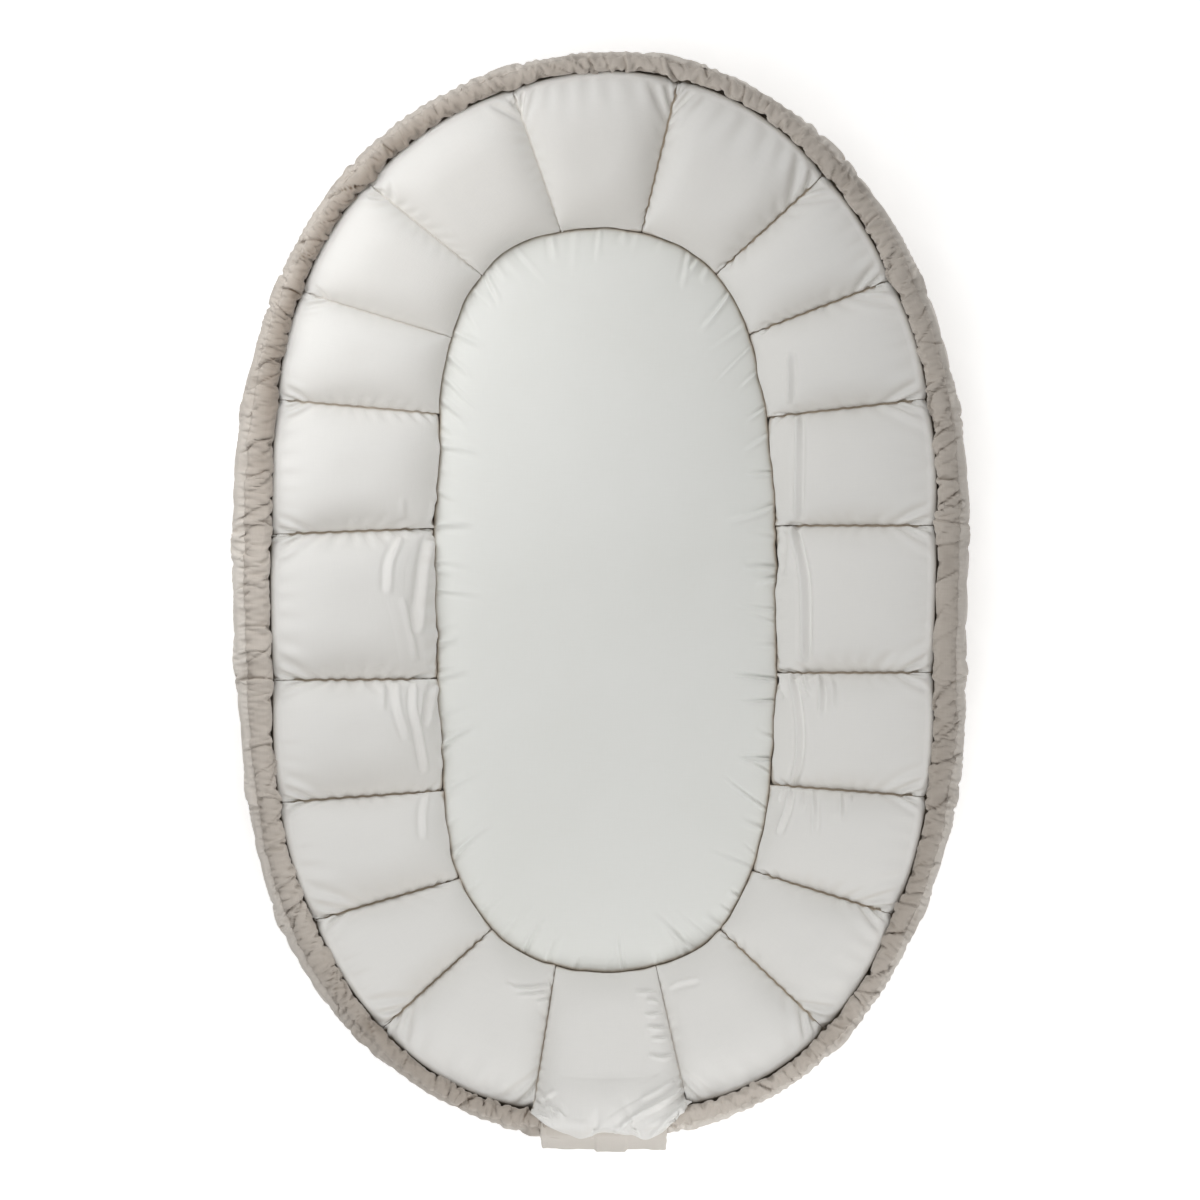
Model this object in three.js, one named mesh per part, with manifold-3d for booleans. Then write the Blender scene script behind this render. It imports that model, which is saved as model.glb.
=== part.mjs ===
// Infant lounger: an oval padded nest, drawn up into a shallow bowl by a cord in its rim.
//
// Millimetres, +Z up, head end at +Y. The origin is on the underside of the base, at the middle of the oval.
// A sewn shell (beige outside, cream inside) is stitched through along 20 radial seams, and each of the
// 20 chambers holds its own batt of fibre. A loose oval mattress lies in the middle. The rim carries a
// gathered tunnel with the drawstring in it; at the foot end both ends of the cord leave the tunnel and
// pass through a sprung cord lock, which hangs behind a fabric flap.
import * as THREE from "three";
import { mergeVertices } from "three/addons/utils/BufferGeometryUtils.js";
import Module from "manifold-3d";

// ---------------------------------------------------------------- driving dimensions (mm)
const CHAMBERS = 20;
// Plan outlines as smooth closed curves: mean radius, then cosine and sine terms of the polar radius.
const MATTRESS_EDGE = [217.5, 6.2, 0.1, -87.9, -1.9, -0.3, -0.3, 16.3, 0.7, -1.1, 0.3, 1.8, -0.5, 0.1, 0.3, -3.5, -0.3];
const TUNNEL_EDGE = [353.8, 2.8, 2.0, -79.6, -0.5, 0.1, -0.6, 1.3, 0.3, 0.4, 1.1, 0.6, 1.0, -0.8, -0.8, -0.7, -0.7];
const OUTER_EDGE = [376.4, 0.9, 1.7, -73.5, -0.1, -0.4, -0.3, 0.7, -0.4, 0.6, 1.1, 0.6, -0.1, -0.9, 0.2, -0.3, 0.0];
// Polar angle in degrees of each radial seam, where it starts at the mattress and where it ends at the rim.
const SEAM_IN = [83.5, 70.2, 60.4, 47.5, 22.8, -22.2, -47.2, -60.4, -69.9, -81.3, -96.9, -108.4, -117.0, -129.8, -154.3, -203.3, -229.1, -240.0, -249.7, -263.9];
const SEAM_OUT = [81.4, 62.1, 47.6, 31.4, 12.4, -12.2, -30.9, -46.8, -62.3, -80.2, -97.5, -117.0, -131.9, -147.9, -166.3, -191.2, -211.7, -225.8, -240.8, -260.2];
const RIM_HEIGHT = 130; // top of the rim tunnel above the floor
const FOOT_DROP = 0.05; // share by which the rim is lower at the foot end
const SKIN = 1.0; // quilted cotton skin
const SKIN_TO_FILL = 2.2; // clearance between skin and batt
const BASE_SKIN = 1.2;
const WADDING = 3.0;
const MATTRESS_TOP = 39.5;
const CORD_R = 2.0;
const TUNNEL_HALF_H = 6.0;
const TUNNEL_WALL = 1.0;
const TUNNEL_FROM = 9.7; // the tunnel runs once round, from just left of the foot to just right of it (in seams)
const TUNNEL_TO = 29.27;
const LOCK = { x: 3, y: -444.6, z: 73, back: -16, front: 11, w: 11, h: 12 }; // cord lock: barrel along X
const LOCK_SLOT = { x: 9.2, y: 4.9 };
const PLUNGER = { left: -6.5, head: 14.7, end: 18, w: 7.2, h: 8.2, slotFrom: -4.5, slotTo: 8.3 };
const FLAP = { x: 3, w: 100, hingeY: -442.6, hingeZ: 110, endY: -461.2, endZ: 40, t: 2.0 };
const KNOT_Z = 50;

// ---------------------------------------------------------------- plan outlines
const rad = (d) => (d * Math.PI) / 180;
function radius(c, a) {
  let r = c[0];
  for (let n = 1; 2 * n < c.length; n++) r += c[2 * n - 1] * Math.cos(n * a) + c[2 * n] * Math.sin(n * a);
  return r;
}
const point = (c, a, grow = 0) => {
  const r = radius(c, a) + grow;
  return new THREE.Vector2(r * Math.cos(a), r * Math.sin(a));
};
// Angle at seam position s: whole numbers are seams, and s runs clockwise from the seam right of the head.
function angleAt(table, s) {
  const turns = Math.floor(s / CHAMBERS);
  const q = s - turns * CHAMBERS;
  const k = Math.floor(q), u = q - k;
  const next = k + 1 < CHAMBERS ? table[k + 1] : table[0] - 360;
  return rad(table[k] + (next - table[k]) * u - 360 * turns);
}
// The wall's section at seam position s, as a map from (distance outwards, height) to the part's frame.
function section(s) {
  const I = point(MATTRESS_EDGE, angleAt(SEAM_IN, s));
  const B = point(TUNNEL_EDGE, angleAt(SEAM_OUT, s));
  const w1 = I.distanceTo(B), dir = B.clone().sub(I).divideScalar(w1);
  let w2 = 20;
  for (let i = 0; i < 12; i++) {
    const p = B.clone().addScaledVector(dir, w2);
    w2 += 0.8 * (radius(OUTER_EDGE, Math.atan2(p.y, p.x)) - p.length());
  }
  const foot = Math.max(0, -Math.sin(angleAt(SEAM_OUT, s)));
  const h = 1 - FOOT_DROP * foot ** 3;
  return {
    w1, w2,
    dist: (rho) => (rho <= 1 ? rho * w1 : w1 + (rho - 1) * w2),
    lift: (z) => (z < 10 ? z : 10 + (z - 10) * h),
    at: (d, z) => [I.x + dir.x * d, I.y + dir.y * d, z],
  };
}

// ---------------------------------------------------------------- wall sections
// Each point is (distance outwards, height). Distance 0 is the mattress's edge, 1 the tunnel's inner edge, 2 the outline.
const LINING_FULL = [[0.018, 6.4], [0.0, 24], [0.08, 46], [0.3, 66], [0.55, 85], [0.79, 103], [1.02, 116.5]];
const LINING_SEAM = [[0.018, 6.4], [0.125, 14.5], [0.31, 28.5], [0.53, 47.5], [0.72, 72], [0.865, 97], [0.99, 115.5]];
const SHELL_FULL = [[0.022, 0.5], [0.2, 0.4], [0.46, 0.4], [0.78, 9], [1.1, 34], [1.72, 66], [2.0, 92], [1.95, 109], [1.82, 118.3]];
const SHELL_SEAM = [[0.022, 2.6], [0.155, 10.5], [0.34, 24], [0.56, 42.7], [0.75, 67], [0.905, 91], [1.35, 105], [1.68, 113], [1.8, 117.8]];
const FOOT_CHAMBER = 9; // the shell is pressed flat behind the cord lock here
const SAMPLES = [0, 0.07, 0.3, 0.7, 0.93];
const puff = (u) => Math.sqrt(Math.max(0, 1 - Math.abs(2 * u - 1) ** 3));

function curve(sec, s, full, seam) {
  const k = Math.floor(s + 1e-9) % CHAMBERS, u = s - Math.floor(s + 1e-9), p = puff(Math.max(0, u));
  return full.map(([rf, zf], i) => {
    const [rs, zs] = seam[i];
    let rho = rs + (rf - rs) * p;
    let z = zs + (zf - zs) * p;
    if (full === SHELL_FULL && k === FOOT_CHAMBER && rho > 1) {
      rho = 1 + (rho - 1) * (1 - 0.42 * p);
      z -= 7 * p * Math.max(0, (z - 60) / 60);
    }
    return [sec.dist(rho), sec.lift(z)];
  });
}
// Moves each point of an open section line by t along its normal (to the left of its direction).
function offset(line, t) {
  return line.map(([x, z], i) => {
    const a = line[Math.max(0, i - 1)], b = line[Math.min(line.length - 1, i + 1)];
    const dx = b[0] - a[0], dz = b[1] - a[1], l = Math.hypot(dx, dz);
    return [x - (dz / l) * t, z + (dx / l) * t];
  });
}

// ---------------------------------------------------------------- closed meshes
function geometry(points, faces) {
  let v = 0;
  for (const [a, b, c] of faces) {
    const [p, q, r] = [points[a], points[b], points[c]];
    v += p[0] * (q[1] * r[2] - q[2] * r[1]) + p[1] * (q[2] * r[0] - q[0] * r[2]) + p[2] * (q[0] * r[1] - q[1] * r[0]);
  }
  const g = new THREE.BufferGeometry();
  g.setAttribute("position", new THREE.BufferAttribute(new Float32Array(points.flat()), 3));
  g.setIndex(v < 0 ? faces.flatMap(([a, b, c]) => [a, c, b]) : faces.flat());
  return g;
}
// A thick sheet between two grids of points. With closed, its first and last columns join up.
function sheet(P, Q, closed) {
  const nu = P.length, nt = P[0].length, points = [...P.flat(), ...Q.flat()], faces = [];
  const p = (i, j) => (i % nu) * nt + j, q = (i, j) => nu * nt + (i % nu) * nt + j;
  const quad = (a, b, c, d) => faces.push([a, b, c], [a, c, d]);
  const last = closed ? nu : nu - 1;
  for (let i = 0; i < last; i++) {
    for (let j = 0; j < nt - 1; j++) {
      quad(p(i, j), p(i + 1, j), p(i + 1, j + 1), p(i, j + 1));
      quad(q(i, j), q(i, j + 1), q(i + 1, j + 1), q(i + 1, j));
    }
    quad(p(i, 0), q(i, 0), q(i + 1, 0), p(i + 1, 0));
    quad(p(i, nt - 1), p(i + 1, nt - 1), q(i + 1, nt - 1), q(i, nt - 1));
  }
  if (!closed)
    for (let j = 0; j < nt - 1; j++) {
      quad(p(0, j), p(0, j + 1), q(0, j + 1), q(0, j));
      quad(p(nu - 1, j), q(nu - 1, j), q(nu - 1, j + 1), p(nu - 1, j + 1));
    }
  return geometry(points, faces);
}
// A solid lofted through closed rings of points. Without outlines its ends are fans round a middle point;
// with the two end rings' flat outlines they are triangulated as drawn. From point flipFrom on, the facets
// are split along the other diagonal.
function loft(rings, outlines, flipFrom = Infinity) {
  const m = rings[0].length, points = rings.flat(), faces = [];
  for (let i = 0; i < rings.length - 1; i++)
    for (let j = 0; j < m; j++) {
      const a = i * m + j, b = i * m + ((j + 1) % m), c = b + m, d = a + m;
      if (j >= flipFrom) faces.push([a, b, d], [b, c, d]);
      else faces.push([a, b, c], [a, c, d]);
    }
  [0, rings.length - 1].forEach((i, end) => {
    if (outlines) {
      const flat = outlines[end].map(([x, y]) => new THREE.Vector2(x, y)), ccw = !THREE.ShapeUtils.isClockWise(flat);
      for (const [a, b, c] of THREE.ShapeUtils.triangulateShape(flat, [])) {
        const f = [i * m + a, i * m + b, i * m + c];
        faces.push((end === 0) === ccw ? f.reverse() : f);
      }
      return;
    }
    const centre = [0, 1, 2].map((k) => rings[i].reduce((t, p) => t + p[k], 0) / m);
    const n = points.push(centre) - 1;
    for (let j = 0; j < m; j++) {
      const a = i * m + j, b = i * m + ((j + 1) % m);
      faces.push(end === 0 ? [b, a, n] : [a, b, n]);
    }
  });
  return geometry(points, faces);
}
// A hollow tube through two sets of closed rings, open at both ends.
function pipe(outer, inner) {
  const m = outer[0].length, n = outer.length, points = [...outer.flat(), ...inner.flat()], faces = [];
  const o = (i, j) => i * m + (j % m), q = (i, j) => n * m + i * m + (j % m);
  const quad = (a, b, c, d) => faces.push([a, b, c], [a, c, d]);
  for (let i = 0; i < n - 1; i++)
    for (let j = 0; j < m; j++) {
      quad(o(i, j), o(i, j + 1), o(i + 1, j + 1), o(i + 1, j));
      quad(q(i, j), q(i + 1, j), q(i + 1, j + 1), q(i, j + 1));
    }
  for (let j = 0; j < m; j++) {
    quad(o(0, j), q(0, j), q(0, j + 1), o(0, j + 1));
    quad(o(n - 1, j), o(n - 1, j + 1), q(n - 1, j + 1), q(n - 1, j));
  }
  return geometry(points, faces);
}

const wasm = await Module();
wasm.setup();
function solid(g) {
  const bare = g.index ? g.toNonIndexed() : g.clone();
  for (const name of Object.keys(bare.attributes)) if (name !== "position") bare.deleteAttribute(name);
  const m = mergeVertices(bare, 1e-4);
  return new wasm.Manifold(
    new wasm.Mesh({ numProp: 3, vertProperties: new Float32Array(m.attributes.position.array), triVerts: new Uint32Array(m.index.array) }),
  );
}
function back(s) {
  const m = s.getMesh(), g = new THREE.BufferGeometry();
  g.setAttribute("position", new THREE.BufferAttribute(new Float32Array(m.vertProperties), 3));
  g.setIndex(new THREE.BufferAttribute(new Uint32Array(m.triVerts), 1));
  return g;
}
const box = (x0, x1, y0, y1, z0, z1) =>
  new THREE.BoxGeometry(x1 - x0, y1 - y0, z1 - z0).translate((x0 + x1) / 2, (y0 + y1) / 2, (z0 + z1) / 2);
// A bar along X with a rounded rectangular section.
function bar(x0, x1, w, h, r) {
  const s = new THREE.Shape(), a = w / 2, b = h / 2;
  s.moveTo(-a + r, -b).lineTo(a - r, -b).quadraticCurveTo(a, -b, a, -b + r).lineTo(a, b - r).quadraticCurveTo(a, b, a - r, b);
  s.lineTo(-a + r, b).quadraticCurveTo(-a, b, -a, b - r).lineTo(-a, -b + r).quadraticCurveTo(-a, -b, -a + r, -b);
  const g = new THREE.ExtrudeGeometry(s, { depth: x1 - x0, bevelEnabled: false, curveSegments: 3 });
  // the section's x becomes Y and its y becomes Z
  return g.applyMatrix4(new THREE.Matrix4().set(0, 0, 1, x0, 1, 0, 0, 0, 0, 1, 0, 0, 0, 0, 0, 1));
}
// An oval prism whose outline follows the mattress's edge.
function ovalPrism(grow, z0, z1, n = 40) {
  const s = new THREE.Shape(Array.from({ length: n }, (_, i) => point(MATTRESS_EDGE, (2 * Math.PI * i) / n, grow)));
  return new THREE.ExtrudeGeometry(s, { depth: z1 - z0, bevelEnabled: false }).translate(0, 0, z0);
}

// ---------------------------------------------------------------- the group
const cloth = (name, color, roughness = 0.9) => new THREE.MeshStandardMaterial({ name, color, roughness, metalness: 0 });
const CREAM = cloth("cream_cotton", 0xe9e7e2);
const BEIGE = cloth("beige_cotton", 0xc4b9af);
const FIBRE = cloth("white_fibre", 0xf4f4f2, 1.0);
const BRAID = cloth("beige_cord", 0xbcb0a4);
const PLASTIC = new THREE.MeshStandardMaterial({ name: "moulded_plastic", color: 0xb3a89c, roughness: 0.45, metalness: 0 });
const STEEL = new THREE.MeshStandardMaterial({ name: "spring_steel", color: 0xb8bbbf, roughness: 0.3, metalness: 1 });

const lounger = new THREE.Group();
const add = (parent, name, geometry, material) => {
  const mesh = new THREE.Mesh(geometry, material);
  mesh.name = name;
  parent.add(mesh);
  return mesh;
};

// ---- floor of the nest, three layers
const floor = new THREE.Group();
lounger.add(floor);
add(floor, "base_panel", ovalPrism(1.6, 0, BASE_SKIN), BEIGE);
add(floor, "floor_wadding", ovalPrism(-1.0, BASE_SKIN + 0.3, BASE_SKIN + 0.3 + WADDING), FIBRE);
add(floor, "floor_lining", ovalPrism(1.6, 4.8, 5.8), CREAM);

// ---- wall: shell outside, lining inside, one batt of fibre to a chamber
const wall = new THREE.Group();
lounger.add(wall);
{
  const lining = [[], []], shell = [[], []];
  for (let k = 0; k < CHAMBERS; k++)
    for (const u of SAMPLES) {
      const s = k + u, sec = section(s), map = ([d, z]) => sec.at(d, z);
      const l = curve(sec, s, LINING_FULL, LINING_SEAM), o = curve(sec, s, SHELL_FULL, SHELL_SEAM);
      lining[0].push(l.map(map));
      lining[1].push(offset(l, -SKIN).map(map));
      shell[0].push(o.map(map));
      shell[1].push(offset(o, SKIN).map(map));
    }
  add(wall, "wall_lining", sheet(...lining, true), CREAM);
  add(wall, "outer_shell", sheet(...shell, true), BEIGE);
  for (let k = 0; k < CHAMBERS; k++) {
    const outlines = [], rings = [0.07, 0.3, 0.7, 0.93].map((u) => {
      const s = k + u, sec = section(s);
      const inset = SKIN + SKIN_TO_FILL * (u < 0.1 || u > 0.9 ? 2 : 1);
      const l = offset(curve(sec, s, LINING_FULL, LINING_SEAM), -inset);
      const o = offset(curve(sec, s, SHELL_FULL, SHELL_SEAM), inset);
      // the batt's thin edge by the mattress is one point, midway between the skins
      const edge = [0, 1].map((c) => (l[0][c] + l[1][c] + o[0][c] + o[1][c]) / 4);
      outlines.push([edge, ...l.slice(1), ...o.slice(1).reverse()]);
      return outlines.at(-1).map(([d, z]) => sec.at(d, z));
    });
    add(wall, "wall_fill_" + String(k + 1).padStart(2, "0"), loft(rings, [outlines[0], outlines[3]], LINING_FULL.length), FIBRE);
  }
}

// ---- rim tunnel and the drawstring in it
const rim = new THREE.Group();
lounger.add(rim);
const TUNNEL_STEPS = 72;
const tunnelAxis = [];
{
  const outer = [], inner = [];
  for (let i = 0; i <= TUNNEL_STEPS; i++) {
    const s = TUNNEL_FROM + ((TUNNEL_TO - TUNNEL_FROM) * i) / TUNNEL_STEPS, sec = section(s);
    const half = Math.min(8.5, Math.max(5.6, 0.34 * sec.w2));
    const d0 = sec.w1 + 0.38 * sec.w2, z0 = sec.lift(RIM_HEIGHT - TUNNEL_HALF_H);
    tunnelAxis.push(sec.at(d0, z0));
    const ring = (cut) =>
      Array.from({ length: 8 }, (_, j) => {
        const a = (2 * Math.PI * (j + 0.5)) / 8;
        return sec.at(d0 + (half - cut) * 1.05 * Math.cos(a), z0 + (TUNNEL_HALF_H - cut) * 1.05 * Math.sin(a));
      });
    outer.push(ring(0));
    inner.push(ring(TUNNEL_WALL));
  }
  add(rim, "rim_tunnel", pipe(outer, inner), BEIGE);
}
{
  // From one knot, up through the lock, into the tunnel, once round, and back down through the lock.
  const down = LOCK.x, [first, end] = [tunnelAxis[0], tunnelAxis[TUNNEL_STEPS]];
  const tail = (side, mouth) => {
    const x = down + side * 2.2;
    return [
      [x, LOCK.y, KNOT_Z - 4], [x, LOCK.y, KNOT_Z + 6], [x, LOCK.y, 66], [x, LOCK.y, 80],
      [x + side * 0.1, LOCK.y + 0.8, 85], [x + side * 1.6, -440.9, 95], [x + side * 6, -439.6, 104],
      [(x + mouth[0]) / 2 + side * 1, -438.3, 111.4], [mouth[0] - side * 6, (mouth[1] - 436.4) / 2, mouth[2] - 2.2],
    ];
  };
  const left = tail(-1, first), right = tail(1, end).reverse();
  const route = [...left, ...tunnelAxis.filter((_, i) => i % 2 === 0), ...right].map((p) => new THREE.Vector3(...p));
  const line = new THREE.CatmullRomCurve3(route, false, "centripetal");
  const ring = new THREE.Shape(Array.from({ length: 6 }, (_, j) => {
    const a = (2 * Math.PI * j) / 6;
    return new THREE.Vector2(CORD_R * Math.cos(a), CORD_R * Math.sin(a));
  }));
  // parallel rings along the line, closer together in the tails than in the tunnel
  const rings = [];
  const n = 110;
  let normal = new THREE.Vector3(0, 1, 0);
  for (let i = 0; i <= n; i++) {
    const t = i / n, w = t < 0.5 ? 2 * t : 2 * (1 - t), e = 0.5 * Math.pow(w, 1.35), q = t < 0.5 ? e : 1 - e;
    const p = line.getPointAt(q), tangent = line.getTangentAt(q);
    normal.sub(tangent.clone().multiplyScalar(normal.dot(tangent))).normalize();
    const b = tangent.clone().cross(normal);
    rings.push(ring.getPoints().slice(0, 6).map((v) => p.clone().addScaledVector(normal, v.x).addScaledVector(b, v.y).toArray()));
  }
  const knot = (side) => solid(new THREE.SphereGeometry(3.4, 8, 6).scale(0.62, 1, 1.25).translate(down + side * 2.35, LOCK.y, KNOT_Z - 4));
  add(rim, "drawstring", back(solid(loft(rings)).add(knot(-1)).add(knot(1))), BRAID);
}

// ---- cord lock: body, sprung plunger with a slot that the two cords pass through, and its spring
const lock = new THREE.Group();
lock.position.set(LOCK.x, LOCK.y, LOCK.z);
lounger.add(lock);
{
  const slot = solid(box(-LOCK_SLOT.x / 2, LOCK_SLOT.x / 2, -LOCK_SLOT.y / 2, LOCK_SLOT.y / 2, -20, 20));
  const cavity = solid(box(LOCK.back + 1.5, LOCK.front + 5, -PLUNGER.w / 2 - 0.2, PLUNGER.w / 2 + 0.2, -PLUNGER.h / 2 - 0.2, PLUNGER.h / 2 + 0.2));
  add(lock, "lock_body", back(solid(bar(LOCK.back, LOCK.front, LOCK.w, LOCK.h, 2.5)).subtract(cavity).subtract(slot)), PLASTIC);
  const stem = solid(bar(PLUNGER.left, PLUNGER.head + 1, PLUNGER.w, PLUNGER.h, 0.8));
  const head = solid(bar(PLUNGER.head, PLUNGER.end, LOCK.w - 1, LOCK.h - 1, 2.2));
  const window = solid(box(PLUNGER.slotFrom, PLUNGER.slotTo, -2.35, 2.35, -20, 20));
  add(lock, "lock_plunger", back(stem.add(head).subtract(window)), PLASTIC);
  // a compression spring between the closed end of the body and the plunger
  const x0 = LOCK.back + 1.5 + 0.55, x1 = PLUNGER.left - 0.55, turns = 5, steps = 45, rings = [];
  for (let i = 0; i <= steps; i++) {
    const a = (2 * Math.PI * turns * i) / steps, x = x0 + ((x1 - x0) * i) / steps, r = 2.7;
    const c = new THREE.Vector3(x, r * Math.cos(a), r * Math.sin(a));
    const out = new THREE.Vector3(0, Math.cos(a), Math.sin(a)), along = new THREE.Vector3(1, 0, 0);
    rings.push(Array.from({ length: 5 }, (_, j) => {
      const b = (2 * Math.PI * j) / 5;
      return c.clone().addScaledVector(out, 0.25 * Math.cos(b)).addScaledVector(along, 0.25 * Math.sin(b)).toArray();
    }));
  }
  add(lock, "lock_spring", loft(rings), STEEL);
}

// ---- fabric flap over the cord lock, sewn on along its top edge
const flap = new THREE.Group();
flap.position.set(FLAP.x, FLAP.hingeY, FLAP.hingeZ);
flap.rotation.x = -Math.atan2(FLAP.hingeY - FLAP.endY, FLAP.hingeZ - FLAP.endZ);
lounger.add(flap);
{
  const length = Math.hypot(FLAP.hingeY - FLAP.endY, FLAP.hingeZ - FLAP.endZ);
  const s = new THREE.Shape();
  const a = FLAP.w / 2, r = 3;
  s.moveTo(-a, 0).lineTo(-a, -length + r).quadraticCurveTo(-a, -length, -a + r, -length);
  s.lineTo(a - r, -length).quadraticCurveTo(a, -length, a, -length + r).lineTo(a, 0).closePath();
  const g = new THREE.ExtrudeGeometry(s, { depth: FLAP.t, bevelEnabled: false, curveSegments: 3 });
  // the shape's y runs down the flap, and its thickness outwards
  g.rotateX(Math.PI / 2);
  add(flap, "foot_flap", g, BEIGE);
}

// ---- mattress: a sewn cover round a fibre core
const mattress = new THREE.Group();
lounger.add(mattress);
{
  const n = 40;
  const PROFILE = [[-20, 6.2], [-9, 7.6], [-3.6, 14], [-3.2, 22], [-7, 31], [-18, 36], [-45, 38.4], [-90, MATTRESS_TOP]];
  const ring = (grow, z) => Array.from({ length: n }, (_, i) => {
    const p = point(MATTRESS_EDGE, (2 * Math.PI * i) / n, grow);
    return [p.x, p.y, z];
  });
  const stack = (t) => loft(offset(PROFILE.map(([g, z]) => [g, z]), t).map(([g, z], i, all) =>
    ring(g, i === 0 ? PROFILE[0][1] + t : i === all.length - 1 ? MATTRESS_TOP - t : z)));
  // the last seam is closed by hand through a short gap in the foot end
  const gap = solid(box(-30, 30, -400, -240, 17.6, 18.4));
  add(mattress, "mattress_cover", back(solid(stack(0)).subtract(solid(stack(1.0))).subtract(gap)), CREAM);
  add(mattress, "mattress_core", stack(1.5), FIBRE);
}

export default lounger;
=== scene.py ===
import math
import time

import bmesh
import bpy
import numpy as np
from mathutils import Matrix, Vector


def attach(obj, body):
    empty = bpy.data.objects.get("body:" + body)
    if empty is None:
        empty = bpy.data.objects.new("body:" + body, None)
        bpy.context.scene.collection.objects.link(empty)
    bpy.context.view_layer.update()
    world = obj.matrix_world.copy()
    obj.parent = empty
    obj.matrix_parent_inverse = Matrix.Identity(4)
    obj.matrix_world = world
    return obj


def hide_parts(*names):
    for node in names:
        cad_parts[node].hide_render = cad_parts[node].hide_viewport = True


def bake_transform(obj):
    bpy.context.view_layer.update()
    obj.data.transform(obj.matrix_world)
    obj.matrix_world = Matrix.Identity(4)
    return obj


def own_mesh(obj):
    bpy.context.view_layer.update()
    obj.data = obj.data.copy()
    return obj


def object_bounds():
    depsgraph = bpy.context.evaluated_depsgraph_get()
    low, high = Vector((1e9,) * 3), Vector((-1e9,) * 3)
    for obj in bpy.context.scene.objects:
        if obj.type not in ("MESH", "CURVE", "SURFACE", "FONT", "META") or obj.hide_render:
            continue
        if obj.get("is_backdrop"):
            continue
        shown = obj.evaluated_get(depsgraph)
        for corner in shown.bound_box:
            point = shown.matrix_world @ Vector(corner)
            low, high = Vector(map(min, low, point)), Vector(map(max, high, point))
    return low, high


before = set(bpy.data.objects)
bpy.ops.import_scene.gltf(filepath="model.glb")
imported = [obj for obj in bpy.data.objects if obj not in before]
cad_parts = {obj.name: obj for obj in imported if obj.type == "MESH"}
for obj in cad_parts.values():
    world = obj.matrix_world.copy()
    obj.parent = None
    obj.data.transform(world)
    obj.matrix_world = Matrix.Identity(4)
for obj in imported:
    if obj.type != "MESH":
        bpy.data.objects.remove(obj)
cad_low, cad_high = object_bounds()
T0 = time.time()
F = np.float32


def say(*words):
    print("[scene %5.1f s]" % (time.time() - T0), *words, flush=True)


# ---------------------------------------------------------------- camera
# The photograph looks straight down on the nest, with its head end at the top.
cam_data = bpy.data.cameras.new("camera")
cam_data.lens, cam_data.sensor_width = 135.0, 36.0
camera = bpy.data.objects.new("camera", cam_data)
camera.location = (0.0, 0.0, 3.825)
camera.rotation_euler = (0.0, 0.0, 0.0)
bpy.context.scene.collection.objects.link(camera)
bpy.context.scene.camera = camera


# ---------------------------------------------------------------- plan (mm), as in the CAD source
CHAMBERS = 20
MATTRESS_EDGE = [217.51, 6.18, 0.07, -87.95, -1.92, -0.28, -0.28, 16.27, 0.65, -1.12, 0.29, 1.8, -0.48, 0.13, 0.32, -3.51, -0.33, 0.27, -0.08, 1.23, 0.1]
TUNNEL_EDGE = [353.77, 2.8, 1.97, -79.57, -0.51, 0.08, -0.61, 1.27, 0.28, 0.42, 1.08, 0.64, 1.05, -0.77, -0.84, -0.71, -0.68, -0.14, 0.75, 0.61, 0.25]
OUTER_EDGE = [376.39, 0.92, 1.71, -73.55, -0.05, -0.41, -0.27, 0.74, -0.39, 0.55, 1.14, 0.64, -0.08, -0.87, 0.16, -0.33, -0.0, -0.11, 0.1, -0.14, 0.62]
SEAM_IN = [83.5, 70.2, 60.4, 47.5, 22.8, -22.2, -47.2, -60.4, -69.9, -81.3, -96.9, -108.4, -117.0, -129.8, -154.3, -203.3, -229.1, -240.0, -249.7, -263.9]
SEAM_OUT = [81.4, 62.1, 47.6, 31.4, 12.4, -12.2, -30.9, -46.8, -62.3, -80.2, -97.5, -117.0, -131.9, -147.9, -166.3, -191.2, -211.7, -225.8, -240.8, -260.2]
RIM_TOP = 130.0
FOOT_DROP = 0.05


def radius(c, a):
    r = np.full_like(a, c[0], dtype=float)
    for n in range(1, (len(c) + 1) // 2):
        r = r + c[2 * n - 1] * np.cos(n * a) + c[2 * n] * np.sin(n * a)
    return r


def ring_point(c, a, grow=0.0):
    r = radius(c, a) + grow
    return np.stack([r * np.cos(a), r * np.sin(a)], -1)


def angle_at(seams, s):
    """Polar angle at seam position s; s runs clockwise and grows by 20 for a full turn."""
    turns = np.floor(s / CHAMBERS)
    q = s - turns * CHAMBERS
    table = np.array(seams + [seams[0] - 360.0])
    return np.radians(np.interp(q, np.arange(CHAMBERS + 1), table) - 360.0 * turns)


def sections(s):
    """The wall's straight sections at positions s: inner point, direction outwards, widths to the tunnel's edge and to the outline."""
    s = np.asarray(s, float)
    a_out = angle_at(SEAM_OUT, s)
    inner = ring_point(MATTRESS_EDGE, angle_at(SEAM_IN, s))
    edge = ring_point(TUNNEL_EDGE, a_out)
    w1 = np.linalg.norm(edge - inner, axis=-1)
    d = (edge - inner) / w1[:, None]
    w2 = np.full_like(w1, 20.0)
    for _ in range(12):
        p = edge + d * w2[:, None]
        w2 += 0.8 * (radius(OUTER_EDGE, np.arctan2(p[:, 1], p[:, 0])) - np.linalg.norm(p, axis=-1))
    low = 1 - FOOT_DROP * np.clip(-np.sin(a_out), 0, 1) ** 3
    return inner, d, w1, w2, low


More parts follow.
